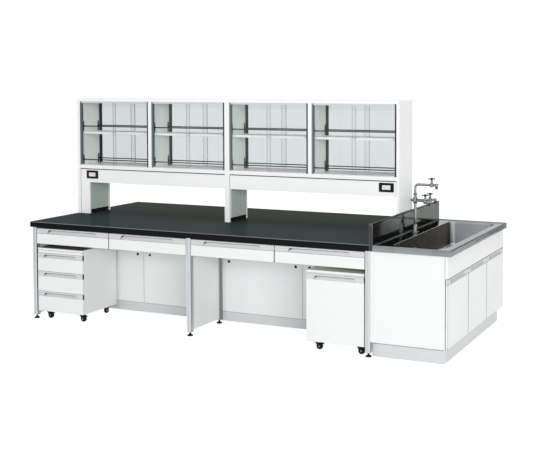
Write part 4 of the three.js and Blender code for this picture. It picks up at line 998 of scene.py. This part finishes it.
def bay_fittings(metal, brackets, start, end, base, mid, crown):
    """Jambs, tracks, brackets and the ends of the guard rails of one bay, on both faces."""
    rails = []
    for out in (-1, 1):
        outer = out * (SHELF_HALF - TRACK_EDGE)
        inner = outer - out * JAMB_DEPTH
        for x, way in ((start, 1), (end, -1)):
            # Painted light and shade: the jamb whose inner side faces the light is slate, the other black
            tone = "slate" if way == -out else "jamb"
            metal.block((x, x + way * JAMB_FACE), (inner, outer), (base, crown), tone, 0.8)
        for seat, towards, rib in ((base, 1, LOWER_RIB), (crown, -1, UPPER_RIB)):
            section = [(out * y, z) for y, z in track_section(seat, towards, rib)]
            metal.prism(section, "X", (start + JAMB_FACE, end - JAMB_FACE), "grip", 0.3)
        y = out * (SHELF_HALF - RAIL_SETBACK)
        for board in (base, mid):
            z = board + RAIL_RISE
            half, tall = BRACKET[0] / 2, BRACKET[1] / 2
            for x, way in ((start, 1), (end, -1)):
                outline = rounded((y - half, y + half), (z - tall, z + tall), 5, 4)
                socket = x + way * BRACKET_SHEET
                brackets.prism(outline, "X", (x, socket), "jamb", 0.8)
                brackets.turned([(9, 0), (9, 3), (6.5, 6), (5.2, 6)], (socket, y, z), (way, 0, 0), "jamb", 20)
            rails.append(((start + BRACKET_SHEET, y, z), (end - BRACKET_SHEET, y, z)))
    return rails


def shelf_boards(low, high, left, right, base, mid):
    """Uprights, top, base, middle boards and divider of a unit, with black painted shade in its cable
    notches.
    """
    boards, shade_fills = Shape(), Shape()
    half = SHELF_HALF
    foot, under_crown = low.z, high.z - SHELF_TOP
    for a, b in ((low.x, left), (right, high.x)):
        boards.block((a, b), (-half, half), (foot + CABLE_NOTCH, under_crown), "shelf", 1.2)
        # Painted shade: a black block fills each cable notch
        shade_fills.block((a + 2, b - 2), (FASCIA - half, half - FASCIA), (foot, foot + CABLE_NOTCH), "rubber", 0.8)
        for y in (-half, half - FASCIA):
            boards.block((a, b), (y, y + FASCIA), (foot, foot + CABLE_NOTCH + 1), "shelf", 0.8)
    boards.block((low.x, high.x), (-half, half), (under_crown, high.z), "shelf", 1.6)
    boards.block((left, right), (-half, half), (base - BASE_BOARD, base), "shelf", 1.6)
    middle = (left + right) / 2
    divider = (middle - DIVIDER / 2, middle + DIVIDER / 2)
    boards.block(divider, (-half, half), (base, under_crown), "shelf", 1.2)
    bays = ((left, divider[0]), (divider[1], right))
    reach = half - MID_SETBACK
    for a, b in bays:
        boards.block((a, b), (-reach, reach), (mid - MID_BOARD, mid), "shelf", 1.4)
    return boards, shade_fills, bays


def shelf_unit(hand):
    """One unit of the shelf: its boards, fascias, leg insides in painted grey-green shade, bays and sockets.
    """
    node_name = f"shelf_unit_{hand}"
    low, high = span(node_name)
    floor = span("worktop_front")[1].z
    foot = low.z
    base, mid = floor + BASE_TOP, floor + MID_TOP
    base_low = base - BASE_BOARD
    under_base = base_low - BASE_SHADE_GAP
    fascia_low = base_low - FASCIA_HEIGHT
    packing = END_PACKING if hand == "left" else 0
    left, right = low.x + UPRIGHT + packing, high.x - UPRIGHT
    boards, shade_fills, bays = shelf_boards(low, high, left, right, base, mid)
    face = SHELF_HALF - FASCIA_SETBACK
    column = (left + REVEAL, low.x + packing + COLUMN_WIDTH)
    for out in (-1, 1):
        thickness = (out * face, out * (face - FASCIA))
        behind = (out * (face - 0.5), out * (face - FASCIA))
        boards.block((left + REVEAL, right - REVEAL), thickness, (fascia_low, under_base), "shelf", 1.2)
        # Painted shade: black behind the gaps round the fascia
        shade_fills.block((left, right), behind, (under_base, base_low), "rubber", 0.4)
        for x in ((left, left + REVEAL), (right - REVEAL, right)):
            shade_fills.block(x, behind, (fascia_low, under_base), "rubber", 0.4)
        if hand == "left":
            boards.block(column, thickness, (foot, fascia_low), "shelf", 1.2)
            # Painted shade: black in the reveal beside the column
            shade_fills.block((left, column[0]), behind, (foot, fascia_low), "rubber", 0.4)
    inside = (FASCIA - face, face - FASCIA)
    # The legs' inner faces take the grey-green painted shade: a side panel on the left unit, a thin sheet on
    # the right
    if hand == "left":
        end = column[1] - COLUMN_PANEL_SETBACK
        panel = (end - FASCIA, end)
        boards.block(panel, inside, (foot + CABLE_NOTCH, base_low - 1), "leg_inside_shade", 1)
        # Painted shade: black in the panel's cable notch
        shade_fills.block((panel[0] + 2, panel[1] - 2), inside, (foot, foot + CABLE_NOTCH), "rubber", 0.8)
    else:
        boards.block((left - 1, left + SHADE_SHEET), inside, (foot + CABLE_NOTCH, base_low - 1), "leg_inside_shade", 0.8)
    metal, brackets, outlets = Shape(), Shape(), Shape()
    outlet_x = low.x + LEFT_OUTLET_INSET if hand == "left" else high.x - RIGHT_OUTLET_INSET
    for out in (-1, 1):
        socket_outlet(outlets, outlet_x, base_low - OUTLET_DROP, out)
    rails = []
    for a, b in bays:
        rails += bay_fittings(metal, brackets, a, b, base, mid, high.z - SHELF_TOP)
    boards.piece(f"shelf_boards_{hand}", "bench", "white_board", [node_name])
    metal.piece(f"glazing_profiles_{hand}", "bench", "frame_profile")
    brackets.piece(f"rail_brackets_{hand}", "bench", "frame_profile")
    outlets.piece(f"socket_outlets_{hand}", "bench", "caster_tread")
    shade_fills.piece(f"black_shade_fills_{hand}", "bench", "caster_tread")
    grown(f"guard_rails_{hand}", RAILS, [p for rail in rails for p in rail], {"Rod radius": RAIL_ROD / 2},
          "bench", [(2 * i, 2 * i + 1) for i in range(len(rails))])


def glass_pane(name):
    """Float-glass pane with ground edges. A back pane's film stops short where it slides behind another."""
    low, high = span(name)
    bare = low.x + GLASS_OVERLAP if name.endswith("right") else low.x
    section = [(low.y, low.z), (high.y, low.z), (high.y, high.z), (low.y, high.z)]
    shape = Shape()
    shape.loft([[(x, y, z) for y, z in section] for x in sorted({low.x, bare, high.x})], "glass", 0.8)
    shape.mesh.normal_update()
    faces = [f for f in shape.mesh.faces if abs(f.normal.y) > 0.99]
    shape.dress([f for f in shape.mesh.faces if f not in faces], "glass_edge", False)
    if "back" in name:
        shape.dress([f for f in faces if f.calc_center_median().x > bare], "film", False)
    shape.piece(f"{name}_glass", name, "glass", [name])


# Sink unit: cabinet, doors, stainless top and faucet
def sink_cabinet():
    """Cabinet of boards with an apron over its doors, dividers between them, and a plinth set back below."""
    low, high = span("sink_cabinet")
    door_low, door_high = span("sink_door_1")
    shape = Shape()
    wall = CABINET_WALL
    shell_right = door_low.x - CLEAR
    apron = door_high.z + DOOR_GAP
    under_rim = span("worktop_front")[1].z - SINK_RIM - 0.5
    for y, way in ((low.y, 1), (high.y, -1)):
        side = (y, y + way * wall)
        shape.block((low.x, shell_right), side, (PLINTH, apron), "board", 1.4)
        joint = shell_right - CABINET_JOINT
        shape.block((low.x, joint), side, (apron - 1, under_rim), "board", 1.4)
        shape.block((joint - 1, shell_right + 1), (y + way * 0.5, y + way * wall), (apron - 1, under_rim),
                    "black", 0.2)
        shape.block((shell_right, high.x), side, (apron, under_rim), "board", 1.4)
    inner = (low.y + wall, high.y - wall)
    shape.block((low.x, low.x + wall), inner, (PLINTH, under_rim), "board", 1)
    shape.block((low.x + wall, shell_right), inner, (PLINTH, PLINTH + wall), "board", 1)
    shape.block((high.x - wall, high.x), inner, (apron, under_rim), "board", 1.4)
    shape.block((shell_right, high.x - 0.4), (low.y + 1, high.y - 1), (apron - CABINET_JOINT, apron),
                "black", 0.3)
    thirds = (high.y - low.y) / 3
    for y in (low.y + thirds, high.y - thirds):
        shape.block((low.x + wall, shell_right), (y - wall / 2, y + wall / 2),
                    (PLINTH + wall, door_high.z - DIVIDER_DROP), "board", 1)
    plinth = (low.y + PLINTH_SETBACK, high.y - PLINTH_SETBACK)
    toe = shell_right - PLINTH_TOE
    for y, way in ((plinth[0], 1), (plinth[1], -1)):
        shape.block((low.x, toe), (y, y + way * wall), (0, PLINTH), "knee", 1.4)
    for x in (low.x, toe - wall):
        shape.block((x, x + wall), (plinth[0] + wall, plinth[1] - wall), (0, PLINTH), "knee", 1.4)
    shape.piece("sink_cabinet_boards", "bench", "white_board", ["sink_cabinet"])


def sink_top():
    """Pressed sink: a folded skirt, a raised rim, a deck and a long basin with soft corners, as one skin."""
    low, high = span("sink_top")
    rim_top = span("worktop_front")[1].z
    deck = rim_top - RIM_RISE
    floor = deck - BASIN_DEPTH
    sheet = 2
    skirt = (low.x + SPLASHBACK, high.x, low.y, high.y)
    basin = (low.x + BASIN_LEDGE, high.x - BASIN_RIGHT_RIM, low.y + BASIN_END_RIM, high.y - BASIN_END_RIM)

    def ring(area, inset, radius, z):
        x0, x1, y0, y1 = area
        return [(a, b, z) for a, b in rounded((x0 + inset, x1 - inset), (y0 + inset, y1 - inset), radius, 8)]

    centre = ((basin[0] + basin[1]) / 2, (basin[2] + basin[3]) / 2)
    hole = (centre[0] - DRAIN / 2, centre[0] + DRAIN / 2, centre[1] - DRAIN / 2, centre[1] + DRAIN / 2)
    bottom = rim_top - SINK_RIM
    bead = [(0, -6), (0.6, -3.6), (2, -1.6), (4, -0.4), (6.5, 0), (9, -0.4), (11.4, -1.8), (13, -4)]
    curve = BASIN_CORNER
    above = [(skirt, 0, 2, bottom), *((skirt, inset, 2, rim_top + drop) for inset, drop in bead),
             (skirt, RIM_WIDTH, 2, deck), (basin, -9, curve + 9, deck), (basin, -4, curve + 4, deck - 1),
             (basin, -1, curve + 1, deck - 4), (basin, 0, curve, deck - 9), (basin, 3, curve, floor + 26),
             (basin, 6, curve, floor + 14), (basin, 13, curve, floor + 6), (basin, 24, curve, floor + 3),
             (hole, 0, DRAIN * 0.45, floor + 1)]
    below = [(hole, 0, DRAIN * 0.45, floor - 1), (basin, 24, curve, floor + 1), (basin, 11, curve, floor + 4),
             (basin, 1, curve, floor + 26), (basin, -sheet, curve, deck - 9),
             (basin, -9, curve + 9, deck - sheet), (skirt, RIM_WIDTH, 2, deck - sheet),
             (skirt, sheet, 2, rim_top - 4), (skirt, sheet, 2, bottom)]
    shape = Shape()
    shape.loft([ring(*level) for level in above + below], "steel", smooth=True, closed=True)
    shape.mesh.normal_update()
    # Painted reflection: basin faces turned left and right take the dark warm steel, the rest the pale
    for face in shape.mesh.faces:
        at = face.calc_center_median()
        if at.z < deck - 3 and basin[0] - 8 < at.x < basin[1] + 8 and basin[2] - 8 < at.y < basin[3] + 8:
            shape.dress([face], "basin_painted_dark_side" if abs(face.normal.x) > 0.8 else "basin", True)
    splash, fold = (low.x, low.x + SPLASHBACK), high.z - FOLD
    shape.block(splash, (low.y + FOLD, high.y - FOLD), (bottom, fold), "splash", 0.6)
    shape.block(splash, (low.y, high.y), (fold, high.z), "fold", 1.4)
    for y in (low.y, high.y - FOLD):
        shape.block(splash, (y, y + FOLD), (bottom, fold), "fold", 1.4)
    drain, strainer = (centre[0], centre[1], floor + 1.5), DRAIN / 2
    flange = [(14, -1), (strainer + 8, 1), (strainer + 8, 2), (strainer - 2, 3), (strainer - 6, 1), (14, 0)]
    shape.turned(flange, drain, UP, "chrome", 40, closed=True)
    shape.turned([(2, -2.5), (14.5, -2.5), (14.5, 0), (2, 1.5)], drain, UP, "black", 32)
    shape.piece("pressed_sink_top", "bench", "stainless", ["sink_top"])


def valve(shape, at):
    """Valve body with a hexagon nut, a bonnet and the stem under its handle."""
    body = [(7, -18), (10.5, -18), (13.5, -15.5), (15, -12), (15, 9), (13.5, 12), (10, 14)]
    shape.turned(body, at, UP, "chrome")
    shape.turned([(10.5, 13), (11.5, 14), (11.5, 22), (10.5, 23)], at, UP, "chrome", 6)
    shape.turned([(8.5, 22), (8.5, 33), (7, 37), (4, 38), (4, 48)], at, UP, "chrome", 24)


def hose_nozzle(shape, at):
    """Ribbed nozzle that hangs under an elbow."""
    profile = [(6, 10), (12, 10), (14.5, 8), (14.5, -5)]
    for top in (-5, -14, -23):
        profile += [(12, top - 1), (8.4, top - 8.5)]
    shape.turned(profile + [(5, -32)], at, UP, "chrome", 28)


def branch(shape, column, handle):
    """Valve under a handle and the nozzle beyond it, in line with the column. Gives the valve's middle."""
    low, high = span(handle)
    end = (low + high) / 2
    end.z = low.z - VALVE_RISE
    aim = Vector((end.x - column, end.y, 0)).normalized()
    tip = end + aim * NOZZLE_OFFSET
    shape.tube([end + aim * 8, tip - aim * 8, tip], NOZZLE_PIPE, "chrome")
    valve(shape, end)
    hose_nozzle(shape, tip)
    return end


def faucet():
    """Column with a valve on each of two arms, a swivelling neck with a third, and their handles."""
    deck = span("faucet_column")[0].z
    x = span("sink_top")[0].x + FAUCET_INSET
    swivel = span("faucet_gooseneck")[0].z - SWIVEL_DROP
    shape = Shape()
    for hand in ("front", "back"):
        end = branch(shape, x, f"faucet_handle_{hand}")
        start = Vector((x, 0, end.z))
        aim = (end - start).normalized()
        shape.tube([start + aim * 10, start + aim * 50, end - aim * 4], ARM, "chrome")
    cross = end.z - deck
    column = [(8, 0), (32.5, 0), (32.5, 4), (30, 7), (22, 9), (19, 20), (18, 58), (15, 62), (11, 64),
              (11, 150), (11, cross - 25), (15, cross - 23), (17, cross - 19), (17, cross + 19),
              (15, cross + 23), (11, cross + 25), (11, swivel - deck - CLEAR)]
    shape.turned(column, (x, 0, deck), UP, "chrome", 40)
    shape.turned([(4, 0), (10, 0), (10, 25), (12, 26), (12, 29), (9, 32), (4, 40)], (x, 0, end.z), (-1, 0, 0),
                 "chrome", 24)
    shape.piece("faucet_column_plated", "bench", "chrome", ["faucet_column"])
    neck = Shape()
    end = branch(neck, x, "faucet_handle_neck")
    ring = [(6, 0), (15, 0), (16, 1.5), (16, 12), (14, 14), (10, 15)]
    neck.turned(ring, (x, 0, swivel), UP, "chrome")
    bend = [(x + NECK_BEND * (1 - cos(t)), 0, end.z - NECK_BEND * (1 - sin(t)))
            for t in (pi / 2 * i / 8 for i in range(9))]
    neck.tube([(x, 0, swivel + 8), *bend, (end.x - 4, 0, end.z)], ARM, "chrome")
    neck.piece("faucet_neck_plated", "faucet_gooseneck", "chrome", ["faucet_gooseneck"])
    for name in ("faucet_handle_front", "faucet_handle_back", "faucet_handle_neck"):
        cross_handle(name)


def cross_handle(name):
    """Four-armed handle: a domed hub and arms that swell to rounded ends."""
    low, high = span(name)
    centre = (low + high) / 2
    centre.z += HANDLE_LIFT
    foot, crown = (centre.x, centre.y, low.z + HANDLE_LIFT), (centre.x, centre.y, high.z + HANDLE_LIFT - 2)
    shape = Shape()
    hub = [(4.6, 0), (8.5, 0), (9.5, 2), (9.5, 13), (7, 15.4), (4.6, 16)]
    shape.turned(hub, foot, UP, "handle", 28, closed=True)
    shape.turned([(1, 0), (4.5, 0), (4.5, 1.5), (1, 2)], crown, UP, "handle", 24)
    arm = [(3, 8), (3.6, 9.5), (3.6, 17), (4.8, 20.5), (5, 23), (4.2, 25.6), (2, 27)]
    for turn in range(4):
        aim = (cos(turn * pi / 2), sin(turn * pi / 2), 0)
        shape.turned(arm, centre, aim, "handle", 20)
    shape.piece(f"{name}_plated", name, "chrome", [name])


# Stage: world, floor, lamps, flats and camera
def seen_or_mirrored(tree):
    """1 where the camera looks straight at a surface, in a mirror or through glass, and 0 elsewhere."""
    ray = node(tree, "ShaderNodeLightPath").outputs
    direct = node(tree, "ShaderNodeMath", {
        0: ray["Is Camera Ray"], 1: ray["Is Glossy Ray"]}, operation="MAXIMUM")
    return node(tree, "ShaderNodeMath", {0: direct, 1: ray["Is Transmission Ray"]}, operation="MAXIMUM")


def stand(name, points, faces, materials):
    """A surface of the studio, which isn't part of the bench."""
    mesh = bpy.data.meshes.new(name)
    mesh.from_pydata(points, [], faces)
    for material in materials:
        mesh.materials.append(material)
    obj = bpy.data.objects.new(name, mesh)
    bpy.context.scene.collection.objects.link(obj)
    return obj


def white_room():
    """White sky and a floor of white paper, plain white to the camera. The floor keeps the shadow."""
    world = bpy.data.worlds.new("studio")
    bpy.context.scene.world = world
    world.use_nodes = True
    tree = world.node_tree
    level = node(tree, "ShaderNodeMapRange", {"Value": seen_or_mirrored(tree), "To Min": 0.53, "To Max": 1.0})
    feed(tree, tree.nodes["Background"], {"Color": (1, 1, 1, 1), "Strength": level})

    paper = bpy.data.materials.new("white_studio_paper")
    paper.use_nodes = True
    tree = paper.node_tree
    lit = node(tree, "ShaderNodeBsdfDiffuse", {"Color": (0.62, 0.62, 0.62, 1)})
    glow = node(tree, "ShaderNodeEmission", {"Color": (1, 1, 1, 1), "Strength": 1.4})
    share = node(tree, "ShaderNodeMath", {0: seen_or_mirrored(tree), 1: 0.7}, operation="MULTIPLY")
    both = node(tree, "ShaderNodeMixShader", {0: share, 1: lit, 2: glow})
    feed(tree, tree.nodes["Material Output"], {"Surface": both})
    stand("floor", [(-60, -60, 0), (60, -60, 0), (60, 60, 0), (-60, 60, 0)], [(0, 1, 2, 3)], [paper])


def softbox(name, at, towards, size, power):
    """Area lamp, in metres and watts, that no mirror shows."""
    light = bpy.data.lights.new(name, "AREA")
    light.shape, light.size, light.size_y, light.energy = "RECTANGLE", size[0], size[1], power
    lamp = bpy.data.objects.new(name, light)
    bpy.context.scene.collection.objects.link(lamp)
    lamp.location = at
    lamp.rotation_euler = (Vector(at) - Vector(towards)).to_track_quat("Z", "Y").to_euler()
    lamp.visible_camera = lamp.visible_glossy = False


def studio_flats():
    """Flats that only polished and glazed surfaces pick up, in metres.

    Dark felt stands to the right and left of the bench, and a grey card lies behind the sink.
    """
    materials = []
    for name, colour in (("dark_felt", "#211d19"), ("grey_card", "#c6cdc6")):
        cloth = bpy.data.materials.new(name)
        cloth.use_nodes = True
        shader = cloth.node_tree.nodes["Principled BSDF"]
        feed(cloth.node_tree, shader, {"Base Color": linear(colour), "Roughness": 0.9})
        materials.append(cloth)
    felt_right = [(2.8, 14, 0), (24, 14, 0), (24, 14, 9), (2.8, 14, 9), (24, -2, 0), (24, -2, 9)]
    felt_left = [(-7, -9, 0.4), (-7, 4, 0.4), (-7, 4, 6), (-7, -9, 6)]
    card = [(2.7, 5.8, 0.004), (4.2, 5.8, 0.004), (4.2, 9.5, 0.004), (2.7, 9.5, 0.004)]
    faces = [(0, 1, 2, 3), (1, 4, 5, 2), (6, 7, 8, 9), (10, 11, 12, 13)]
    flats = stand("studio_flats", felt_right + felt_left + card, faces, materials)
    flats.data.polygons[3].material_index = 1
    flats.visible_camera = flats.visible_diffuse = flats.visible_shadow = flats.visible_transmission = False


def photo_camera():
    """Camera at the photograph's viewpoint. Its shift is in pixels of a frame 540 wide."""
    lens = bpy.data.cameras.new("camera")
    lens.sensor_fit, lens.sensor_width, lens.lens = "HORIZONTAL", 36.0, 66.28
    lens.shift_x, lens.shift_y = -76 / 540, -96 / 540
    lens.clip_end = 200
    camera = bpy.data.objects.new("camera", lens)
    bpy.context.scene.collection.objects.link(camera)
    camera.location = (3.807, -7.157, 1.928)
    camera.rotation_euler = (radians(90 - 2.605), 0, radians(23.471))
    bpy.context.scene.camera = camera


for side in ("front", "back"):
    dress_node(f"worktop_{side}", "laminate")
    posts_x = leg_frames(side)
    for i in (1, 2, 3, 4):
        drawer(f"bench_drawer_{side}_{i}", BENCH_STRIP, BENCH_GRIP_MARGIN, BENCH_BOX,
               0.0 if side == "front" else pi, DRAWER_EDGE_SEAL)
knee_wall(posts_x)
wagons()
shelf_unit("left")
shelf_unit("right")
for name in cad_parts:
    if name.startswith("pane_"):
        glass_pane(name)
sink_cabinet()
for i in (1, 2, 3):
    door(f"sink_door_{i}", WAGON_STRIP, DOOR_GRIP_MARGIN, pi / 2, DOOR_SEAL, DOOR_EDGE_SEAL)
sink_top()
dress_node("waste_trap", "trap")
faucet()

white_room()
softbox("front_softbox", (-3.0, -9.0, 0.95), (0, 0, 0.5), (7, 1.8), 85)
softbox("key_softbox", (8.6, -12.0, 3.4), (0, 0, 1.2), (10, 5), 1180)
softbox("end_softbox", (6.8, 0.4, 1.9), (1.8, 0, 0.9), (3, 3), 46)
softbox("top_softbox", (0.5, -1.0, 6.5), (0, 0, 0.8), (6, 4), 80)
softbox("back_softbox", (-4.0, 11.0, 2.4), (0, 0, 0.8), (10, 4), 420)
studio_flats()
photo_camera()
bpy.context.scene.view_settings.view_transform = "Standard"
